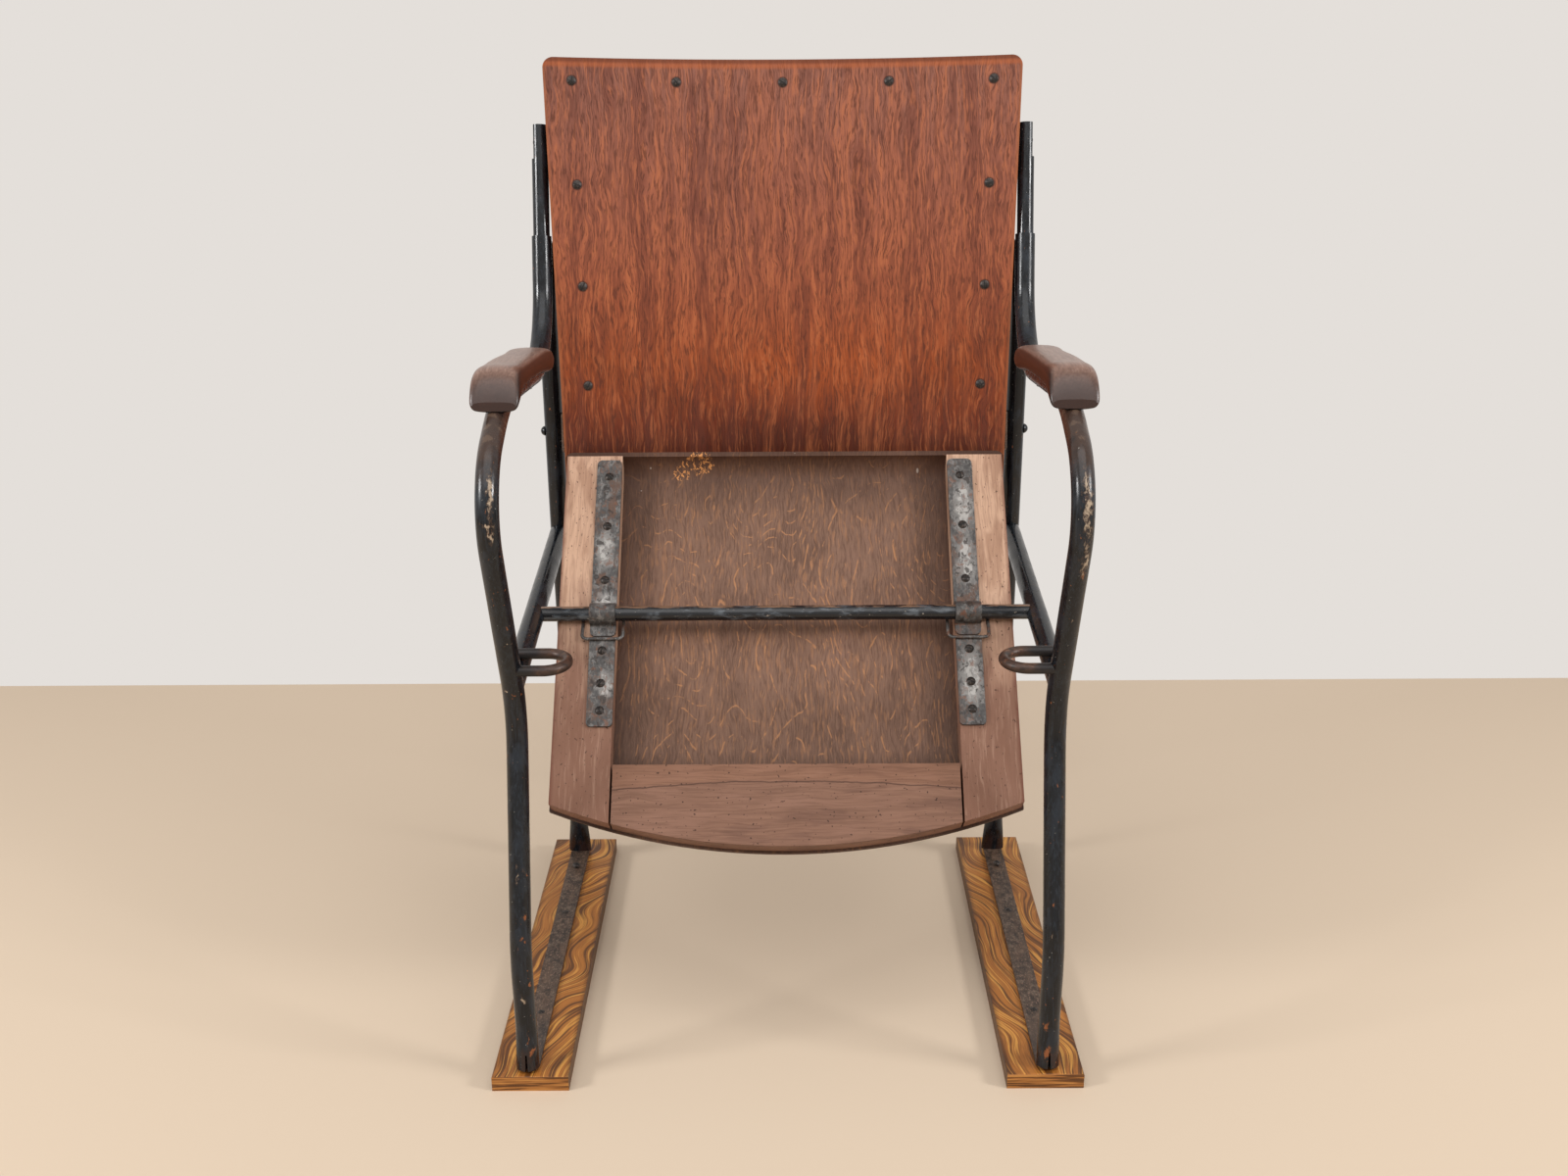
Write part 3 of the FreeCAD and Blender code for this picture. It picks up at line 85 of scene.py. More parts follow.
def piece_point(tree, turn=0.0, pivot=(0, 0, 0)):
    """Position on a piece in metres, turned back about X so that a tilted piece lies level."""
    shift = -(Matrix.Rotation(math.radians(turn), 3, "X") @ Vector(pivot))
    here = add(tree, "ShaderNodeTexCoord").outputs["Object"]
    return add(tree, "ShaderNodeMapping", {"Vector": here, "Location": shift,
                                           "Rotation": (math.radians(turn), 0, 0)}).outputs[0]


def streaks(tree, point, size_mm, detail=3.0, rough=0.55, start=0.0, output=0):
    """Noise stretched to streaks whose size along X, Y and Z is given in millimetres."""
    scaled = add(tree, "ShaderNodeVectorMath", {0: point, 1: [1000 / size for size in size_mm]},
                 operation="MULTIPLY").outputs[0]
    return add(tree, "ShaderNodeTexNoise",
               {"Vector": scaled, "W": start, "Scale": 1.0, "Detail": detail, "Roughness": rough},
               noise_dimensions="4D").outputs[output]


NOISE_SPREAD = 6


def ragged(tree, point, size_mm, reach_mm, start=0.0):
    """The point pushed about by slow noise, so that what is drawn with it is wavy or uneven. The noise
    leaves its middle by about a sixth at most, so NOISE_SPREAD brings it up to the reach."""
    push = streaks(tree, point, size_mm, 2.0, 0.5, start, 1)
    push = add(tree, "ShaderNodeVectorMath", {0: push, 1: (0.5, 0.5, 0.5)}, operation="SUBTRACT").outputs[0]
    push = add(tree, "ShaderNodeVectorMath", {0: push, "Scale": reach_mm * NOISE_SPREAD / 1000},
               operation="SCALE").outputs[0]
    return add(tree, "ShaderNodeVectorMath", {0: point, 1: push}).outputs[0]


def layered(tree, colour, *layers):
    """Colours laid over one another: each comes in up to a share as its pattern goes from start to end."""
    colour = hex_colour(colour) if isinstance(colour, str) else colour
    for pattern, start, end, most, tone in layers:
        share = add(tree, "ShaderNodeMapRange", {0: pattern, "From Min": start, "From Max": end,
                                                 "To Max": most}).outputs[0]
        tone = hex_colour(tone) if isinstance(tone, str) else tone
        colour = add(tree, "ShaderNodeMix", {0: share, 6: colour, 7: tone}, data_type="RGBA").outputs[2]
    return colour


def surface(tree, height=None, depth_mm=0.0, **inputs):
    """The shader of a finish, with bumps of a real depth, and its output."""
    names = {name.replace("_", " "): value for name, value in inputs.items()}
    if height is not None:
        names["Normal"] = add(tree, "ShaderNodeBump", {"Height": height, "Strength": 0.7,
                                                       "Distance": depth_mm / 1000}).outputs[0]
    shader = add(tree, "ShaderNodeBsdfPrincipled", names)
    add(tree, "ShaderNodeOutputMaterial", {"Surface": shader.outputs[0]})


FLAT_WITHIN, SHARP_FROM = math.radians(0.5), math.radians(40)


def eased(width_mm, *names):
    """Round the sharp edges of plain pieces a little, as sanding and use do."""
    for name in names:
        clean = nodes[name].modifiers.new("flat_faces", "DECIMATE")
        clean.decimate_type, clean.angle_limit = "DISSOLVE", FLAT_WITHIN
        ease = nodes[name].modifiers.new("eased_edges", "BEVEL")
        ease.width, ease.segments, ease.limit_method = width_mm / 1000, 2, "ANGLE"
        ease.angle_limit = SHARP_FROM


RUNNER_MIDDLE, RUNNER_EDGE, RUNNER_HALF = 0.231, 0.0300, 0.0345
GRAIN_SLANT, GRAIN_SWEEP = 0.36, 0.12
oak, tree = new_finish("stained_waxed_oak")
point = piece_point(tree)
place = add(tree, "ShaderNodeSeparateXYZ", {0: point})
out = add(tree, "ShaderNodeMath", {0: place.outputs[0]}, operation="ABSOLUTE").outputs[0]
slant = add(tree, "ShaderNodeMath", {0: place.outputs[1], 1: GRAIN_SLANT, 2: out},
            operation="MULTIPLY_ADD").outputs[0]
sweep = streaks(tree, point, (110, 130, 400), 1.0, 0.5)
slant = add(tree, "ShaderNodeMath", {0: sweep, 1: GRAIN_SWEEP, 2: slant}, operation="MULTIPLY_ADD").outputs[0]
flow = add(tree, "ShaderNodeCombineXYZ", {0: slant, 1: place.outputs[1], 2: place.outputs[2]}).outputs[0]
flow = ragged(tree, flow, (14, 50, 60), 0.5, 2.0)
lines = streaks(tree, flow, (3.8, 150, 5), 3.0, 0.6, 3.1)
glints = streaks(tree, flow, (2.2, 80, 4), 2.0, 0.5, 8.0)
patch = streaks(tree, flow, (22, 160, 30), 2.0, 0.5, 7.0)
across = add(tree, "ShaderNodeMath", {0: out, 1: RUNNER_MIDDLE}, operation="SUBTRACT").outputs[0]
across = add(tree, "ShaderNodeMath", {0: across}, operation="ABSOLUTE").outputs[0]
facing = add(tree, "ShaderNodeSeparateXYZ", {0: add(tree, "ShaderNodeNewGeometry").outputs["Normal"]})
sideways = add(tree, "ShaderNodeMath", {0: facing.outputs[0]}, operation="ABSOLUTE").outputs[0]
endways = add(tree, "ShaderNodeMath", {0: facing.outputs[1]}, operation="ABSOLUTE").outputs[0]
end_rings = streaks(tree, point, (45, 30, 1.9), 2.0, 0.5, 2.0)
end_wood = layered(tree, "#a36a33", (end_rings, 0.50, 0.43, 0.85, "#4a2a12"),
                   (end_rings, 0.55, 0.62, 0.6, "#c98f4b"))
# Oak's fibres are finer than this, and are drawn about 1 mm wide so that they show.
fibres = streaks(tree, flow, (0.9, 22, 2), 2.0, 0.5, 5.0)
wood = layered(tree, "#aa6b2c", (patch, 0.46, 0.57, 0.5, "#804b1c"), (lines, 0.51, 0.43, 0.85, "#4a280e"),
               (glints, 0.53, 0.60, 0.7, "#d99c4a"), (fibres, 0.49, 0.40, 0.35, "#563113"),
               (across, RUNNER_EDGE, RUNNER_HALF, 0.6, "#3d2310"),
               (sideways, 0.6, 0.9, 0.6, "#402713"), (endways, 0.6, 0.9, 1.0, end_wood))
surface(tree, lines, 0.25, Base_Color=wood, Roughness=0.46, IOR=1.5, Specular_IOR_Level=0.35)
dress(oak, "runner_left", "runner_right")
eased(0.8, "runner_left", "runner_right")

# Flat irons and back brackets: hot-rolled bar, brown-grey with old scale and
# trodden dirt, with pinkish flecks and a dark smudge near the front end.

SMUDGE_DEPTHS = (-0.125, -0.165)
iron, tree = new_finish("old_hot_rolled_iron")
point = piece_point(tree)
scale_spots = streaks(tree, point, (4, 6, 4), 4.0, 0.65)
scuffs = streaks(tree, point, (16, 40, 16), 3.0, 0.6, 4.0)
flecks = streaks(tree, point, (1.8, 3.2, 2), 2.0, 0.5, 9.0)
depth = add(tree, "ShaderNodeSeparateXYZ", {0: point}).outputs[1]
colour = layered(tree, "#4a3b30", (scale_spots, 0.50, 0.40, 0.8, "#211916"),
                 (scale_spots, 0.53, 0.63, 0.6, "#7c6a5c"), (scuffs, 0.48, 0.60, 0.45, "#674f3e"),
                 (flecks, 0.58, 0.64, 0.6, "#8f6f60"), (depth, *SMUDGE_DEPTHS, 0.45, "#332e2c"))
surface(tree, scale_spots, 0.3, Base_Color=colour, Metallic=0.2, Roughness=0.55)
dress(iron, "flat_iron_left", "flat_iron_right", "back_bracket_left", "back_bracket_right")
eased(0.5, "flat_iron_left", "flat_iron_right")

# Side frames: bent steel tube, brush painted blue-black long ago. The paint
# has gone brown where hands rub under the armrests, and is chipped to cream
# primer and copper-coloured rust down the front legs. Two cream marks on the
# left leg's upper bend are painted highlight streaks.


def marks(tree, point, spots):
    """How far a point is from the nearest of some oval spots, each with its middle and half sizes
    in millimetres: 0 in the middle of a spot and 1 on its outline."""
    least = None
    for x, y, z, wide, deep, tall in spots:
        away = add(tree, "ShaderNodeVectorMath", {0: point, 1: (x / 1000, y / 1000, z / 1000)},
                   operation="SUBTRACT").outputs[0]
        away = add(tree, "ShaderNodeVectorMath", {0: away, 1: (1000 / wide, 1000 / deep, 1000 / tall)},
                   operation="MULTIPLY").outputs[0]
        away = add(tree, "ShaderNodeVectorMath", {0: away}, operation="LENGTH").outputs["Value"]
        least = away if least is None else add(tree, "ShaderNodeMath", {0: least, 1: away},
                                               operation="MINIMUM").outputs[0]
    return least


# The marks at heights 600 and 557 on the left leg are painted highlight streaks; the rest are chips to cream
# primer.
CREAM_CHIPS_AND_HIGHLIGHTS = [(-225.5, -200, 600, 0.9, 14, 9.3), (-234.2, -206, 594, 1.6, 12, 0.6),
               (-230, -216, 557, 1.7, 10, 18), (-232.5, -222, 532, 3.4, 8, 2.5),
               (-231, -222, 524, 1.6, 8, 4.3), (-224.5, -222, 527, 0.8, 6, 0.9),
               (-229.2, -185, 418, 0.9, 6, 0.9), (-238.2, -164, 367, 0.8, 6, 1.2),
               (-235, -197, 206, 0.7, 6, 7.4), (-229, -197, 209, 0.6, 6, 5.0),
               (-233.5, -212, 91, 1.4, 6, 3.7),
               (236.5, -216, 536, 3.0, 9, 30), (234.8, -218, 567, 2.0, 9, 12),
               (238, -214, 500, 2.2, 9, 14), (230.5, -205, 150, 0.8, 6, 1.9),
               (234, -203, 440, 0.8, 14, 1.9)]
COPPER_SPOTS = [(-225, -200, 613, 1.7, 14, 2.9), (-224, -218, 503, 1.3, 8, 6.5),
                (-223.2, -215, 490, 1.7, 8, 2.2), (-229.2, -191, 434, 0.9, 6, 1.9),
                (-232.9, -162, 362, 1.1, 6, 1.4), (-229.2, -202, 168, 1.3, 6, 2.3),
                (-231.3, -205, 151, 1.3, 6, 1.3), (-228.9, -206, 146, 1.0, 6, 1.4),
                (-227, -211, 120, 0.9, 6, 0.9), (-225.1, -212, 106, 0.9, 6, 2.4),
                (-231.3, -213, 50, 0.5, 6, 6.5), (-229.5, -213, 37, 3.2, 8, 2.5),
                (223.7, -200, 613, 1.7, 14, 2.9), (238.3, -214, 486, 1.4, 8, 5.8),
                (228.5, -160, 352, 1.2, 6, 1.6), (233, -204, 178, 1.2, 6, 2.2),
                (229.5, -213, 60, 2.2, 7, 4.3), (231.5, -213, 34, 3.6, 8, 5.8)]
HAND_RUB_HEIGHTS, HAND_RUB_DEPTHS, FOOT_RUST_HEIGHTS = (0.550, 0.595), (-0.100, -0.130), (0.075, 0.030)
paint, tree = new_finish("worn_black_brush_paint")
point = piece_point(tree)
place = add(tree, "ShaderNodeSeparateXYZ", {0: point})
mottle = streaks(tree, point, (14, 14, 34), 3.0, 0.6)
# Bristle marks are finer than this, and are drawn 1.6 mm wide so that they show.
brushing = streaks(tree, point, (1.6, 1.6, 26), 2.0, 0.5, 6.0)
near_hand = add(tree, "ShaderNodeMapRange", {0: place.outputs[2], "From Min": HAND_RUB_HEIGHTS[0],
                                             "From Max": HAND_RUB_HEIGHTS[1]}).outputs[0]
in_front = add(tree, "ShaderNodeMapRange", {0: place.outputs[1], "From Min": HAND_RUB_DEPTHS[0],
                                            "From Max": HAND_RUB_DEPTHS[1]}).outputs[0]
hand_rub = add(tree, "ShaderNodeMath", {0: near_hand, 1: in_front}, operation="MULTIPLY").outputs[0]
rub_noise = streaks(tree, point, (9, 9, 30), 3.0, 0.6, 5.0)
hand_rub = add(tree, "ShaderNodeMath", {0: hand_rub, 1: rub_noise}, operation="MULTIPLY").outputs[0]
foot_rust = add(tree, "ShaderNodeMapRange", {0: place.outputs[2], "From Min": FOOT_RUST_HEIGHTS[0],
                                             "From Max": FOOT_RUST_HEIGHTS[1]}).outputs[0]
foot_rust = add(tree, "ShaderNodeMath", {0: foot_rust, 1: rub_noise}, operation="MULTIPLY").outputs[0]
uneven = ragged(tree, point, (4, 4, 6), 1.6, 2.0)
cream_chips_and_highlights = marks(tree, uneven, CREAM_CHIPS_AND_HIGHLIGHTS)
copper_spots = marks(tree, uneven, COPPER_SPOTS)
chips = streaks(tree, point, (2.6, 2.6, 6), 3.0, 0.6, 2.5)
specks = streaks(tree, point, (1.6, 1.6, 2.2), 2.0, 0.5, 5.0)
flaking = streaks(tree, uneven, (2.4, 2.4, 6), 3.0, 0.6, 3.3)
flaking = add(tree, "ShaderNodeMapRange", {0: flaking, "From Min": 0.42, "From Max": 0.60, "To Min": 0.7,
                                           "To Max": 1.6}).outputs[0]
cream_chips_and_highlights = add(tree, "ShaderNodeMath", {0: cream_chips_and_highlights, 1: flaking}, operation="MULTIPLY").outputs[0]
copper_spots = add(tree, "ShaderNodeMath", {0: copper_spots, 1: flaking}, operation="MULTIPLY").outputs[0]
colour = layered(tree, "#0b0e13", (mottle, 0.50, 0.62, 0.8, "#1a2028"),
                 (brushing, 0.52, 0.62, 0.35, "#2b333c"), (hand_rub, 0.10, 0.46, 0.8, "#45332a"),
                 (hand_rub, 0.54, 0.60, 0.4, "#6f5a4a"),
                 (foot_rust, 0.42, 0.56, 0.7, "#33201a"), (chips, 0.690, 0.705, 0.8, "#8a5230"),
                 (specks, 0.720, 0.735, 0.8, "#a8a49c"), (copper_spots, 1.5, 1.1, 0.6, "#33241c"),
                 (copper_spots, 1.05, 0.7, 0.75, "#95562e"), (cream_chips_and_highlights, 1.5, 1.1, 0.6, "#4a382d"),
                 (cream_chips_and_highlights, 1.0, 0.5, 0.85, "#b3a08a"))
paint_rough = add(tree, "ShaderNodeMapRange", {0: mottle, "From Min": 0.4, "From Max": 0.6,
                                               "To Min": 0.16, "To Max": 0.32}).outputs[0]
surface(tree, brushing, 0.12, Base_Color=colour, Roughness=paint_rough, IOR=1.5, Specular_IOR_Level=0.4)
dress(paint, "arm_tube_left", "arm_tube_right", "rear_leg_left", "rear_leg_right",
      "back_post_left", "back_post_right", "side_rail_left", "side_rail_right",
      "back_bolts", "back_nuts")

# Rest loops: bent round bar, still black near the side frame, with brown iron
# rubbed bare along the top and tip, where the seat comes down on it.

LOOP_BLACK_FROM, LOOP_BLACK_FULL = 0.205, 0.217
loop_iron, tree = new_finish("rubbed_round_bar")
point = piece_point(tree)
rub_marks = streaks(tree, point, (12, 6, 6), 4.0, 0.6)
outward = add(tree, "ShaderNodeMath", {0: add(tree, "ShaderNodeSeparateXYZ", {0: point}).outputs[0]},
              operation="ABSOLUTE").outputs[0]
upward = add(tree, "ShaderNodeSeparateXYZ",
             {0: add(tree, "ShaderNodeNewGeometry").outputs["Normal"]}).outputs[2]
colour = layered(tree, "#463127", (rub_marks, 0.47, 0.39, 0.7, "#1f1815"),
                 (rub_marks, 0.54, 0.62, 0.6, "#83593f"), (upward, 0.2, -0.4, 0.7, "#1b1917"),
                 (outward, LOOP_BLACK_FROM, LOOP_BLACK_FULL, 0.85, "#16181b"))
surface(tree, rub_marks, 0.2, Base_Color=colour, Metallic=0.2, Roughness=0.42)
dress(loop_iron, "seat_rest_loop_left", "seat_rest_loop_right")

# Cross rod: painted round bar, blue-black. The paint has worn through in thin
# broken lines along its top and in small cream chips underneath.

# The frame centres the chair in depth, which moves it forward by this from the source's own zero.
DEPTH_SHIFT = 0.1963012128769324
ROD_DEPTH, ROD_HEIGHT, ROD_R = 0.174 - DEPTH_SHIFT, 0.3835, 0.007
TOP_WORN, LOW_WORN = (0.82, 0.92), (-0.66, -0.84)
rod_finish, tree = new_finish("worn_painted_rod")
point = piece_point(tree)
rod_mottle = streaks(tree, point, (22, 7, 7), 4.0, 0.6)
rod_place = add(tree, "ShaderNodeSeparateXYZ", {0: point})
above_axis = add(tree, "ShaderNodeMath", {0: rod_place.outputs[2], 1: ROD_HEIGHT},
                 operation="SUBTRACT").outputs[0]
top_line = add(tree, "ShaderNodeMapRange", {0: above_axis, "From Min": ROD_R * TOP_WORN[0],
                                            "From Max": ROD_R * TOP_WORN[1]}).outputs[0]
low_line = add(tree, "ShaderNodeMapRange", {0: above_axis, "From Min": ROD_R * LOW_WORN[0],
                                            "From Max": ROD_R * LOW_WORN[1]}).outputs[0]
breaks = streaks(tree, point, (26, 5, 3), 4.0, 0.65, 6.0)
crumbs = streaks(tree, point, (5, 2.5, 2.5), 3.0, 0.65, 2.0)
top_line = add(tree, "ShaderNodeMath", {0: top_line, 1: breaks}, operation="MULTIPLY").outputs[0]
low_line = add(tree, "ShaderNodeMath", {0: low_line, 1: crumbs}, operation="MULTIPLY").outputs[0]
colour = layered(tree, "#121418", (rod_mottle, 0.50, 0.60, 0.7, "#2d3238"),
                 (rod_mottle, 0.56, 0.64, 0.6, "#5a6066"), (top_line, 0.46, 0.54, 0.7, "#8f6d55"),
                 (low_line, 0.54, 0.58, 0.9, "#cbb08c"), (crumbs, 0.66, 0.69, 0.7, "#a89c90"))
surface(tree, rod_mottle, 0.15, Base_Color=colour, Roughness=0.22, IOR=1.5)
dress(rod_finish, "pivot_rod")

# Armrests: solid hardwood, shaped and rounded by hand over the tube and
# varnished. The top carries a painted greyish sheen and the underside painted
# shade; the nose is dark brown where it faces forward, the front shoulder
# orange-brown and the inward sides nearly black.

arm_wood, tree = new_finish("handled_varnished_hardwood")
point = piece_point(tree)
flow = ragged(tree, point, (20, 60, 20), 2.5)
arm_grain = streaks(tree, flow, (2.2, 70, 2.2), 3.0, 0.6)
arm_cloud = streaks(tree, flow, (14, 60, 14), 2.0, 0.5, 4.0)
facing = add(tree, "ShaderNodeSeparateXYZ", {0: add(tree, "ShaderNodeNewGeometry").outputs["Normal"]})
side_of = add(tree, "ShaderNodeMath", {0: add(tree, "ShaderNodeSeparateXYZ", {0: point}).outputs[0]},
              operation="SIGN").outputs[0]
outward = add(tree, "ShaderNodeMath", {0: facing.outputs[0], 1: side_of}, operation="MULTIPLY").outputs[0]
shoulder = marks(tree, ragged(tree, point, (10, 10, 10), 2.0, 3.0),
                 [(-255, -212, 632, 12, 26, 12), (255, -212, 632, 12, 26, 12)])
white_flecks = marks(tree, point, [(-249, -228, 620, 1.0, 6, 1.0), (231, -225, 622, 3.0, 6, 0.6)])
sheen_painted_top_wood = layered(tree, "#836456", (arm_grain, 0.50, 0.42, 0.5, "#5f4238"),
                   (arm_grain, 0.55, 0.63, 0.4, "#a68a7c"))
inner_wood = layered(tree, "#1a0a06", (arm_grain, 0.52, 0.62, 0.5, "#3a1a10"))
# The layer for upward faces is a painted sheen; the near-black layer for downward faces is painted shade
# under the arm.
arm_colour = layered(tree, "#4a2216", (arm_grain, 0.50, 0.42, 0.6, "#2a120b"),
                     (arm_cloud, 0.52, 0.60, 0.5, "#663623"), (facing.outputs[2], 0.20, 0.85, 0.9, sheen_painted_top_wood),
                     (facing.outputs[1], -0.30, -0.90, 0.9, "#2f1d17"),
                     (outward, -0.35, -0.80, 0.94, inner_wood), (shoulder, 1.1, 0.3, 0.6, "#94512c"),
                     (facing.outputs[2], 0.0, -0.4, 0.9, "#120a08"), (white_flecks, 1.0, 0.7, 0.7, "#b0a59a"))
surface(tree, arm_grain, 0.08, Base_Color=arm_colour, Roughness=0.38, IOR=1.5, Specular_IOR_Level=0.4,
        Coat_Weight=0.25, Coat_Roughness=0.25)
dress(arm_wood, "armrest_left", "armrest_right")

# Screws: slotted steel wood screws, gone dark. On the back, straps and floor
# each head is a low dome with a sawn slot full of dirt, a thin dark strip that
# lies on the dome.


def islands(mesh):
    """The separate closed pieces of a mesh, each as a list of its points."""
    work = bmesh.new()
    work.from_mesh(mesh)
    bmesh.ops.remove_doubles(work, verts=work.verts, dist=1e-6)
    left, groups = set(work.verts), []
    while left:
        first = min(left, key=lambda vertex: vertex.index)
        group, waiting = {first}, [first]
        while waiting:
            vertex = waiting.pop()
            for link in vertex.link_edges:
                other = link.other_vert(vertex)
                if other not in group:
                    group.add(other)
                    waiting.append(other)
        left -= group
        groups.append([vertex.co.copy() for vertex in group])
    work.free()
    return groups


def screw_heads(name):
    """Middle of the rim, outward direction, radius and dome height of each screw head in a CAD node."""
    heads = []
    for points in islands(nodes[name].data):
        spots = np.array([tuple(spot) for spot in points])
        middle = spots.mean(axis=0)
        axis = np.linalg.eigh(np.cov((spots - middle).T))[1][:, 2]
        along = (spots - middle) @ axis
        out = np.linalg.norm(spots - middle - np.outer(along, axis), axis=1)
        if along[out.argmax()] < 0:
            axis, along = -axis, -along
        rim = along[out > out.max() * 0.98].mean()
        heads.append((Vector(middle + axis * rim), Vector(axis), float(out.max()), float(along.max() - rim)))
    return heads


SLOT_WIDTH, SLOT_SPAN, SLOT_LIFT, SLOT_STEPS = 0.0012, 0.9, 0.00005, 10
screw_steel, tree = new_finish("darkened_screw_steel")
point = piece_point(tree)
tarnish = streaks(tree, point, (1.8, 1.8, 1.8), 3.0, 0.6)
colour = layered(tree, "#2f2926", (tarnish, 0.48, 0.38, 0.7, "#161312"),
                 (tarnish, 0.53, 0.63, 0.6, "#62564e"))
surface(tree, tarnish, 0.15, Base_Color=colour, Metallic=0.45, Roughness=0.42)
dress(screw_steel, "floor_screws", "armrest_screws", "back_side_screws", "back_screws", "strap_screws")

slot_dirt, tree = new_finish("dirt_in_screw_slots")
dirt = streaks(tree, piece_point(tree), (1, 1, 1), 2.0, 0.5)
surface(tree, Base_Color=layered(tree, "#0d0b0a", (dirt, 0.5, 0.6, 0.6, "#241d19")), Roughness=0.8, IOR=1.5)


def screw_slots(name, body):
    """Thin dark strips that lie on the domes of a node's screws, each at its own angle."""
    turns = random.Random(len(name))
    corners, faces = [], []
    for rim, axis, radius, rise in screw_heads(name):
        ball = (radius ** 2 + rise ** 2) / (2 * rise)
        side = axis.orthogonal().normalized()
        along = Matrix.Rotation(turns.uniform(0, math.pi), 3, axis) @ side
        over = axis.cross(along)
        start = len(corners)
        for step in range(SLOT_STEPS + 1):
            reach = radius * SLOT_SPAN * (2 * step / SLOT_STEPS - 1)
            lift = math.sqrt(ball ** 2 - reach ** 2) - (ball - rise) + SLOT_LIFT
            for half in (-SLOT_WIDTH / 2, SLOT_WIDTH / 2):
                corners.append(rim + along * reach + over * half + axis * lift)
        faces += [(start + 2 * step, start + 2 * step + 1, start + 2 * step + 3, start + 2 * step + 2)
                  for step in range(SLOT_STEPS)]
    mesh = bpy.data.meshes.new(name + "_slots")
    mesh.from_pydata(corners, [], faces)
    mesh.materials.append(slot_dirt)
    strips = bpy.data.objects.new(name + "_slots", mesh)
    bpy.context.scene.collection.objects.link(strips)
    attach(strips, body)


for screws, body in (("back_screws", "frame"), ("strap_screws", "seat"), ("floor_screws", "frame")):
    screw_slots(screws, body)

# Back panel: curved plywood faced with a red-brown open-pored veneer, grain
# upright, varnished. A painted sheen makes it mauve-grey at the top, a painted
# glow of light makes it orange lower down, and painted shade makes it darkest
# behind the seat. Dirt has gathered round each screw.

BACK_RECLINE = 9.0
BACK_FOOT = (0.0, 0.298 - DEPTH_SHIFT, 0.445)
BACK_HEIGHT, BACK_HALF_FOOT, BACK_HALF_TOP = 0.433, 0.2157, 0.227
veneer, tree = new_finish("red_brown_open_pored_veneer")
point = piece_point(tree, BACK_RECLINE, BACK_FOOT)
place = add(tree, "ShaderNodeSeparateXYZ", {0: point})
flow = ragged(tree, point, (30, 60, 75), 3.5)
fine_flow = ragged(tree, flow, (6, 60, 13), 0.55, 4.0)
# Pores are finer than this in real veneer, and are drawn about 1 mm wide so that they show.
pores = streaks(tree, fine_flow, (1.05, 60, 12), 2.0, 0.55, 3.0)
figure = streaks(tree, fine_flow, (2.3, 60, 34), 3.0, 0.6, 5.0)
ribbons = streaks(tree, flow, (15, 60, 260), 3.0, 0.5, 8.0)
by_height = add(tree, "ShaderNodeMapRange", {0: place.outputs[2], "From Max": BACK_HEIGHT}).outputs[0]
# By height: painted shade behind the seat at the foot, a painted mauve-grey sheen at the top.
shade_and_sheen_ramp = add(tree, "ShaderNodeValToRGB", {0: by_height},
           [(0.14, "#4f1d0b"), (0.20, "#662912"), (0.34, "#8d431f"), (0.60, "#8f5039"),
            (0.80, "#8a5341"), (1.0, "#835547")]).outputs[0]
half_here = add(tree, "ShaderNodeMapRange", {0: by_height, "To Min": BACK_HALF_FOOT,
                                             "To Max": BACK_HALF_TOP}).outputs[0]
to_edge = add(tree, "ShaderNodeMath", {0: place.outputs[0]}, operation="ABSOLUTE").outputs[0]
to_edge = add(tree, "ShaderNodeMath", {0: half_here, 1: to_edge}, operation="SUBTRACT").outputs[0]
# glow is a painted pool of light and gloom is painted shade.
glow = marks(tree, flow, [(50, 20, 140, 110, 90, 60)])
gloom = marks(tree, flow, [(-225, 0, 430, 75, 90, 90), (-60, 20, 300, 70, 90, 120)])
screw_dirt = marks(tree, piece_point(tree), [
    (rim.x * 1000, rim.y * 1000, rim.z * 1000, radius * 1000, radius * 1000, radius * 1000)
    for rim, axis, radius, rise in screw_heads("back_screws")])
colour = layered(tree, shade_and_sheen_ramp, (glow, 1.0, 0.2, 0.40, "#a34e21"), (gloom, 1.0, 0.2, 0.34, "#553431"),
                 (ribbons, 0.49, 0.41, 0.45, "#673325"), (ribbons, 0.53, 0.60, 0.25, "#b06440"),
                 (figure, 0.52, 0.60, 0.38, "#b76b42"), (figure, 0.49, 0.42, 0.40, "#5c2f20"),
                 (pores, 0.48, 0.41, 0.62, "#472216"), (to_edge, 0.0030, 0.0010, 0.6, "#9c5c38"),
                 (by_height, 0.978, 0.984, 0.5, "#a9582c"), (by_height, 0.988, 0.994, 0.6, "#4c2416"),
                 (screw_dirt, 1.35, 1.05, 0.8, "#26120d"))
surface(tree, pores, 0.18, Base_Color=colour, Roughness=0.45, IOR=1.5, Specular_IOR_Level=0.25)
dress(veneer, "back_panel")

# Frame behind the back: plain hardwood bars, oiled dark, unseen from the
# front and only rubbed a little along their edges.

dark_wood, tree = new_finish("dark_oiled_hardwood")
point = piece_point(tree, BACK_RECLINE, BACK_FOOT)
bar_grain = streaks(tree, ragged(tree, point, (30, 30, 80), 2.5), (3, 3, 50), 3.0, 0.6)
bar_cloud = streaks(tree, point, (30, 30, 90), 2.0, 0.5, 3.0)
colour = layered(tree, "#553827", (bar_grain, 0.50, 0.41, 0.75, "#2a170f"),
                 (bar_grain, 0.54, 0.62, 0.5, "#7d573e"), (bar_cloud, 0.47, 0.58, 0.35, "#3f281b"))
surface(tree, bar_grain, 0.2, Base_Color=colour, Roughness=0.6, IOR=1.5, Specular_IOR_Level=0.3)
dress(dark_wood, "back_stile_left", "back_stile_right", "back_top_rail", "back_bottom_rail")

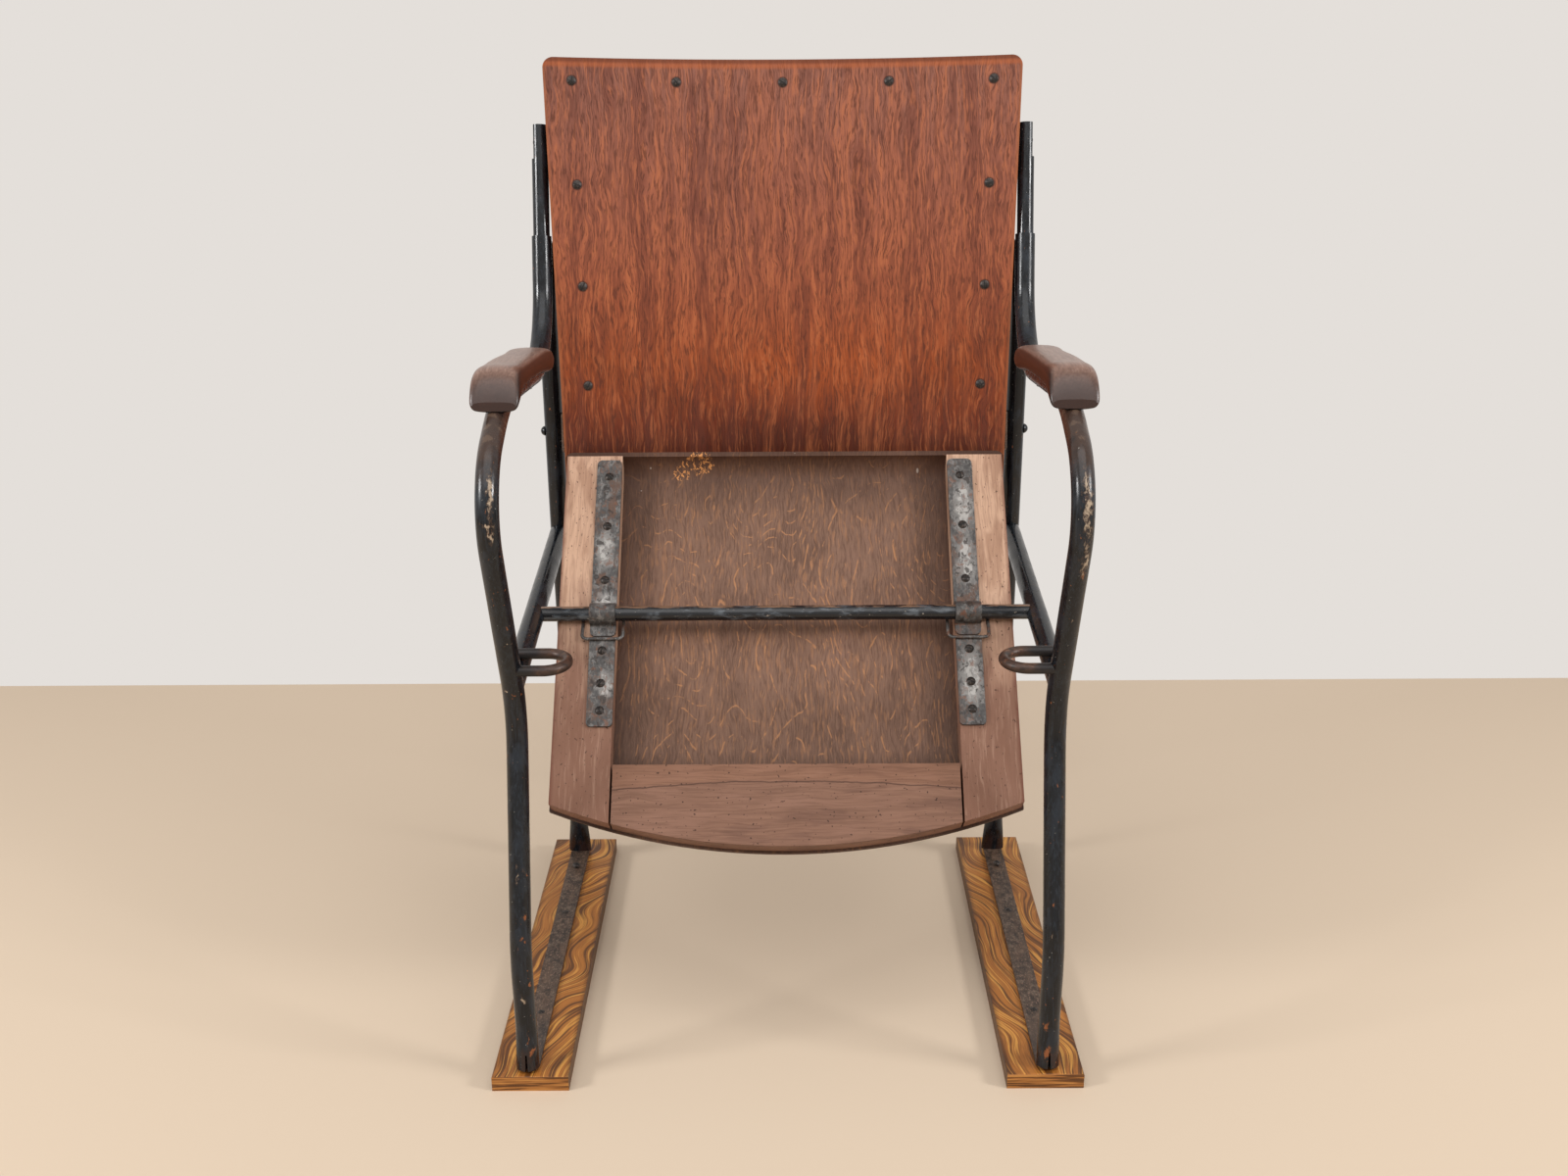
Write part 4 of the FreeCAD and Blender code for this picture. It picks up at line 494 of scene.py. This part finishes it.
# Seat sheet: rotary-cut plywood, rolled down at the front. It is dull brown,
# darker along the frame with dirt and painted shade, darkest under the rolled
# front, with short orange-brown strokes and bits of the wavy lines that peeled
# veneer has, and a patch of fresh scratches near the front.


LEAST_SLOPE, LINE_CORE_MM = 0.0006, 0.2


def level_lines(tree, point, size_mm, count, width_mm, start=0.0):
    """Thin lines of one width along the levels of slow noise, as growth rings show on a peeled face."""
    here = streaks(tree, point, size_mm, 1.0, 0.4, start)
    slopes = []
    for step in ((0.001, 0, 0), (0, 0.001, 0)):
        beside = add(tree, "ShaderNodeVectorMath", {0: point, 1: step}).outputs[0]
        there = streaks(tree, beside, size_mm, 1.0, 0.4, start)
        slopes.append(add(tree, "ShaderNodeMath", {0: there, 1: here}, operation="SUBTRACT").outputs[0])
    steep = add(tree, "ShaderNodeCombineXYZ", {0: slopes[0], 1: slopes[1], 2: LEAST_SLOPE}).outputs[0]
    steep = add(tree, "ShaderNodeVectorMath", {0: steep}, operation="LENGTH").outputs["Value"]
    steep = add(tree, "ShaderNodeMath", {0: steep, 1: float(count)}, operation="MULTIPLY").outputs[0]
    wave = add(tree, "ShaderNodeMath", {0: here, 1: float(count)}, operation="MULTIPLY").outputs[0]
    wave = add(tree, "ShaderNodeMath", {0: wave, 1: 0.5}, operation="PINGPONG").outputs[0]
    gap = add(tree, "ShaderNodeMath", {0: wave, 1: steep}, operation="DIVIDE").outputs[0]
    return add(tree, "ShaderNodeMapRange",
               {0: gap, "From Min": width_mm, "From Max": LINE_CORE_MM}).outputs[0]


SEAT_TURN = 132.6
SEAT_PIVOT = (0.0, ROD_DEPTH, ROD_HEIGHT)
SHEET_HALF, SHEET_FRONT, SHEET_REAR = 0.157, -0.186, 0.150
seat_sheet, tree = new_finish("rotary_cut_seat_plywood")
point = piece_point(tree, SEAT_TURN, SEAT_PIVOT)
place = add(tree, "ShaderNodeSeparateXYZ", {0: point})
flow = ragged(tree, point, (40, 80, 40), 3.0)
wavy = ragged(tree, flow, (7, 16, 10), 0.7, 4.0)
rings = level_lines(tree, wavy, (80, 210, 400), 34, 1.0, 2.4)
gaps = streaks(tree, flow, (6, 16, 20), 3.0, 0.6, 5.0)
gaps = add(tree, "ShaderNodeMapRange", {0: gaps, "From Min": 0.47, "From Max": 0.60}).outputs[0]
rings = add(tree, "ShaderNodeMath", {0: rings, 1: gaps}, operation="MULTIPLY").outputs[0]
# The sheet's pores are finer than this, and are drawn 1.3 and 1.9 mm wide so that they show.
fine = streaks(tree, wavy, (1.3, 14, 8), 3.0, 0.6, 1.0)
flecks = streaks(tree, wavy, (1.9, 17, 8), 2.0, 0.5, 9.0)
cloud = streaks(tree, flow, (60, 110, 60), 3.0, 0.5, 6.0)
out = add(tree, "ShaderNodeMath", {0: place.outputs[0]}, operation="ABSOLUTE").outputs[0]
to_side = add(tree, "ShaderNodeMath", {0: SHEET_HALF, 1: out}, operation="SUBTRACT").outputs[0]
to_front = add(tree, "ShaderNodeMath", {0: place.outputs[1], 1: SHEET_FRONT}, operation="SUBTRACT").outputs[0]
to_rear = add(tree, "ShaderNodeMath", {0: SHEET_REAR, 1: place.outputs[1]}, operation="SUBTRACT").outputs[0]
scratched = marks(tree, flow, [(-84, -170, 27, 26, 18, 30), (-100, -160, 27, 14, 12, 30)])
strokes = streaks(tree, ragged(tree, point, (8, 8, 8), 2.5, 1.0), (1.8, 5.5, 6), 2.0, 0.5, 3.0)
scratches = add(tree, "ShaderNodeMapRange", {0: scratched, "From Min": 1.1, "From Max": 0.6}).outputs[0]
scratches = add(tree, "ShaderNodeMath", {0: scratches, 1: strokes}, operation="MULTIPLY").outputs[0]
white_flecks = marks(tree, point, [(-132, -163, 27, 0.9, 0.9, 30), (-141, -141, 27, 0.8, 0.8, 30),
                                   (131, -160, 27, 1.3, 2.4, 30), (10, -172, 27, 0.9, 0.9, 30)])
# The to_side, to_front and to_rear layers are painted shade along the frame and under the rolled front, with
# dirt.
colour = layered(tree, "#765848", (cloud, 0.48, 0.39, 0.5, "#5d4336"), (cloud, 0.54, 0.64, 0.35, "#836356"),
                 (fine, 0.49, 0.41, 0.45, "#4a3125"), (fine, 0.54, 0.62, 0.25, "#94715d"),
                 (flecks, 0.55, 0.63, 0.42, "#9f704e"), (rings, 0.15, 0.7, 0.65, "#b07c54"),
                 (to_side, 0.036, 0.0, 0.65, "#35231b"), (to_front, 0.085, 0.010, 0.70, "#3e251a"),
                 (to_rear, 0.024, 0.0, 0.6, "#35231b"), (scratches, 0.535, 0.565, 0.9, "#d08f55"),
                 (white_flecks, 1.0, 0.7, 0.7, "#a89b90"))
surface(tree, fine, 0.12, Base_Color=colour, Roughness=0.6, IOR=1.5, Specular_IOR_Level=0.25)
dress(seat_sheet, "seat_ply")

# Seat stiles: bare hardwood, pale and dry at the front, where the finish has
# gone, and brown to the rear. Their outer edges keep reddish varnish.

FADE_UNEVENNESS, VARNISH_FROM, VARNISH_FULL = 0.35, 0.2080, 0.2125
stile_wood, tree = new_finish("bare_worn_hardwood")
point = piece_point(tree, SEAT_TURN, SEAT_PIVOT)
place = add(tree, "ShaderNodeSeparateXYZ", {0: point})
flow = ragged(tree, point, (14, 60, 14), 2.0)
# The wood's pores are finer than this, and are drawn 1.7 mm wide so that they show, as on the rail.
grain = streaks(tree, flow, (1.7, 36, 5), 3.0, 0.6)
cloud = streaks(tree, flow, (14, 60, 20), 3.0, 0.55, 2.0)
dots = streaks(tree, point, (2.0, 3.2, 2.0), 1.0, 0.5, 7.0)
dashes = streaks(tree, flow, (1.1, 11, 4), 2.0, 0.5, 9.0)
along = add(tree, "ShaderNodeMath", {0: cloud, 1: 0.5}, operation="SUBTRACT").outputs[0]
along = add(tree, "ShaderNodeMath", {0: along, 1: FADE_UNEVENNESS, 2: place.outputs[1]},
            operation="MULTIPLY_ADD").outputs[0]
out = add(tree, "ShaderNodeMath", {0: place.outputs[0]}, operation="ABSOLUTE").outputs[0]
edge_chips = streaks(tree, point, (5, 9, 5), 3.0, 0.6, 4.0)
edge = add(tree, "ShaderNodeMapRange", {0: out, "From Min": VARNISH_FROM,
                                        "From Max": VARNISH_FULL}).outputs[0]
colour = layered(tree, "#c6a188", (cloud, 0.49, 0.40, 0.7, "#a07a63"), (cloud, 0.54, 0.62, 0.4, "#d3ad92"),
                 (along, -0.02, 0.085, 1.0, "#856150"), (along, 0.10, 0.22, 0.6, "#76513f"),
                 (grain, 0.50, 0.42, 0.28, "#7a5746"), (grain, 0.55, 0.63, 0.16, "#d4b39b"),
                 (dashes, 0.66, 0.70, 0.6, "#5d4032"), (dots, 0.69, 0.71, 0.8, "#3a241a"),
                 (edge, 0.2, 1.0, 0.75, "#66382a"))
edge_chips = add(tree, "ShaderNodeMath", {0: edge, 1: edge_chips}, operation="MULTIPLY").outputs[0]
colour = layered(tree, colour, (edge_chips, 0.61, 0.65, 0.6, "#a8633a"))
surface(tree, grain, 0.15, Base_Color=colour, Roughness=0.62, IOR=1.5, Specular_IOR_Level=0.25)
dress(stile_wood, "seat_stile_left", "seat_stile_right")
eased(1.0, "seat_stile_left", "seat_stile_right")

# Rear rail: a curved bar of the same wood, browner, with its grain across the
# seat, a long hairline crack and a few dark holes.

CRACK_BOW, CRACK_DEPTH, CRACK_WANDER = 0.30, 0.1602, 0.003
rail_wood, tree = new_finish("brown_worn_rail_wood")
point = piece_point(tree, SEAT_TURN, SEAT_PIVOT)
place = add(tree, "ShaderNodeSeparateXYZ", {0: point})
flow = ragged(tree, point, (70, 14, 14), 2.0)
grain = streaks(tree, flow, (42, 1.8, 5), 3.0, 0.6)
cloud = streaks(tree, flow, (70, 16, 20), 3.0, 0.55, 2.0)
dots = streaks(tree, point, (2.6, 2.6, 2.6), 1.0, 0.5, 7.0)
bow = add(tree, "ShaderNodeMath", {0: place.outputs[0], 1: 2.0}, operation="POWER").outputs[0]
bow = add(tree, "ShaderNodeMath", {0: bow, 1: CRACK_BOW, 2: CRACK_DEPTH}, operation="MULTIPLY_ADD").outputs[0]
wander = streaks(tree, point, (25, 40, 40), 3.0, 0.6, 5.0)
wander = add(tree, "ShaderNodeMapRange", {0: wander, "To Min": -CRACK_WANDER,
                                          "To Max": CRACK_WANDER}).outputs[0]
crack = add(tree, "ShaderNodeMath", {0: place.outputs[1], 1: bow}, operation="SUBTRACT").outputs[0]
above = add(tree, "ShaderNodeMath", {0: crack, 1: wander}, operation="ADD").outputs[0]
crack = add(tree, "ShaderNodeMath", {0: above}, operation="ABSOLUTE").outputs[0]
colour = layered(tree, "#7d5b4a", (cloud, 0.49, 0.40, 0.5, "#64463a"), (cloud, 0.54, 0.63, 0.35, "#8b6757"),
                 (above, 0.001, -0.003, 0.3, "#8b5f45"), (grain, 0.50, 0.42, 0.28, "#523829"),
                 (grain, 0.55, 0.63, 0.2, "#98745f"), (dots, 0.69, 0.71, 0.85, "#2c1a13"),
                 (crack, 0.0009, 0.0002, 0.7, "#38221a"))
surface(tree, grain, 0.15, Base_Color=colour, Roughness=0.6, IOR=1.5, Specular_IOR_Level=0.25)
dress(rail_wood, "seat_rear_rail")
eased(1.0, "seat_rear_rail")

# Hinge straps and wire links: mild steel bar, pitted and scraped. Dark grey
# skin is left between silver-bright scrapes and brown rust.

SILVER_PATCHES = [(-171, -68, 4, 9, 24, 30), (-166, 68, 4, 9, 15, 30), (-169, -14, 4, 14, 10, 30),
                  (172, -112, 4, 11, 32, 30), (172, -56, 4, 10, 30, 30), (171, 62, 4, 11, 32, 30)]
BROWN_PATCHES = [(-166, -118, 4, 8, 34, 30), (-166, -12, 4, 16, 3, 30), (-160, 88, 4, 6, 8, 30),
                 (-174, -40, 4, 6, 8, 30), (168, -78, 4, 4, 8, 30), (170, -14, 4, 14, 9, 30)]
strap_steel, tree = new_finish("pitted_scraped_steel")
point = piece_point(tree, SEAT_TURN, SEAT_PIVOT)
uneven = ragged(tree, point, (5, 7, 5), 2.2, 2.0)
pits = streaks(tree, point, (3.2, 4.5, 3.2), 3.0, 0.6)
deep_pits = streaks(tree, uneven, (5.5, 8, 5.5), 3.0, 0.55, 5.0)
scrapes = streaks(tree, uneven, (5, 12, 5), 3.0, 0.65, 3.0)
rust = streaks(tree, uneven, (9, 16, 9), 3.0, 0.6, 8.0)
silver = add(tree, "ShaderNodeMapRange", {0: marks(tree, uneven, SILVER_PATCHES), "From Min": 1.25,
                                          "From Max": 0.45}).outputs[0]
silver = add(tree, "ShaderNodeMath", {0: silver, 1: scrapes}, operation="MULTIPLY").outputs[0]
brown = add(tree, "ShaderNodeMapRange", {0: marks(tree, uneven, BROWN_PATCHES), "From Min": 1.3,
                                         "From Max": 0.4}).outputs[0]
brown = add(tree, "ShaderNodeMath", {0: brown, 1: rust}, operation="MULTIPLY").outputs[0]
colour = layered(tree, "#4a4847", (pits, 0.50, 0.40, 0.45, "#262424"), (pits, 0.54, 0.62, 0.4, "#74716e"),
                 (scrapes, 0.53, 0.60, 0.5, "#85827f"), (rust, 0.52, 0.62, 0.6, "#5a4031"),
                 (brown, 0.30, 0.46, 0.7, "#5a3e2e"), (silver, 0.08, 0.36, 0.7, "#8e8b88"),
                 (silver, 0.42, 0.54, 0.6, "#b9b6b2"), (deep_pits, 0.43, 0.38, 0.8, "#2a221e"),
                 (deep_pits, 0.59, 0.63, 0.6, "#6f452f"))
surface(tree, deep_pits, 0.25, Base_Color=colour, Metallic=0.3, Roughness=0.45)
dress(strap_steel, "strap_front_left", "strap_front_right", "strap_rear_left", "strap_rear_right",
      "wire_link_left", "wire_link_right")

# The room: a plain pale floor that ends in a plain pale background, soft light
# from a large lamp overhead and smaller ones at the sides, and the camera.

room_floor, tree = new_finish("plain_pale_floor")
surface(tree, Base_Color=hex_colour("#d4c1ab"), Roughness=0.7, Specular_IOR_Level=0.2)
FLOOR_REACH, FLOOR_END = 6, 0.709
floor_mesh = bpy.data.meshes.new("room_floor")
floor_mesh.from_pydata([(-FLOOR_REACH, -FLOOR_REACH, 0), (FLOOR_REACH, -FLOOR_REACH, 0),
                        (FLOOR_REACH, FLOOR_END, 0), (-FLOOR_REACH, FLOOR_END, 0)], [], [(0, 1, 2, 3)])
floor_mesh.materials.append(room_floor)
floor_sheet = bpy.data.objects.new("room_floor", floor_mesh)
bpy.context.scene.collection.objects.link(floor_sheet)


def soft_lamp(name, place, aim, width, power):
    """A soft lamp, a little lower than it is wide, that points at a spot."""
    lamp = bpy.data.lights.new(name, "AREA")
    lamp.shape, lamp.size, lamp.size_y, lamp.energy = "RECTANGLE", width, width * 0.8, power
    holder = bpy.data.objects.new(name, lamp)
    holder.location = place
    holder.rotation_euler = (Vector(aim) - Vector(place)).to_track_quat("-Z", "Y").to_euler()
    bpy.context.scene.collection.objects.link(holder)


soft_lamp("lamp_over", (0.0, -1.3, 2.7), (0, 0.1, 0.3), 3.0, 38)
soft_lamp("lamp_left", (-2.3, -1.0, 1.5), (0, 0, 0.5), 0.6, 30)
soft_lamp("lamp_right", (2.3, -1.0, 1.5), (0, 0, 0.5), 0.6, 30)
ROOM_LIGHT = 0.66
world = bpy.data.worlds.new("room_light")
bpy.context.scene.world = world
world.use_nodes = True
tree = world.node_tree
tree.nodes.clear()
light_path = add(tree, "ShaderNodeLightPath")
seen = add(tree, "ShaderNodeMath", {0: light_path.outputs["Is Camera Ray"],
                                    1: light_path.outputs["Is Glossy Ray"]}, operation="MAXIMUM").outputs[0]
seen = add(tree, "ShaderNodeMath", {0: seen, 1: light_path.outputs["Is Transmission Ray"]},
           operation="MAXIMUM").outputs[0]
strength = add(tree, "ShaderNodeMapRange", {0: seen, "To Min": ROOM_LIGHT, "To Max": 1.0}).outputs[0]
background = add(tree, "ShaderNodeBackground", {"Color": hex_colour("#e4dfda"), "Strength": strength})
add(tree, "ShaderNodeOutputWorld", {"Surface": background.outputs[0]})

CAMERA_PITCH, CAMERA_ROLL = 19.77, 0.3
camera = bpy.data.objects.new("camera", bpy.data.cameras.new("camera"))
camera.data.lens, camera.data.sensor_width = 36.0, 36.0
camera.location = (-0.0012, -1.3909, 0.900)
look = Matrix.Rotation(math.radians(90 - CAMERA_PITCH), 4, "X")
camera.rotation_euler = (look @ Matrix.Rotation(math.radians(-CAMERA_ROLL), 4, "Z")).to_euler()
bpy.context.scene.collection.objects.link(camera)
bpy.context.scene.camera = camera
bpy.context.scene.view_settings.view_transform = "Standard"
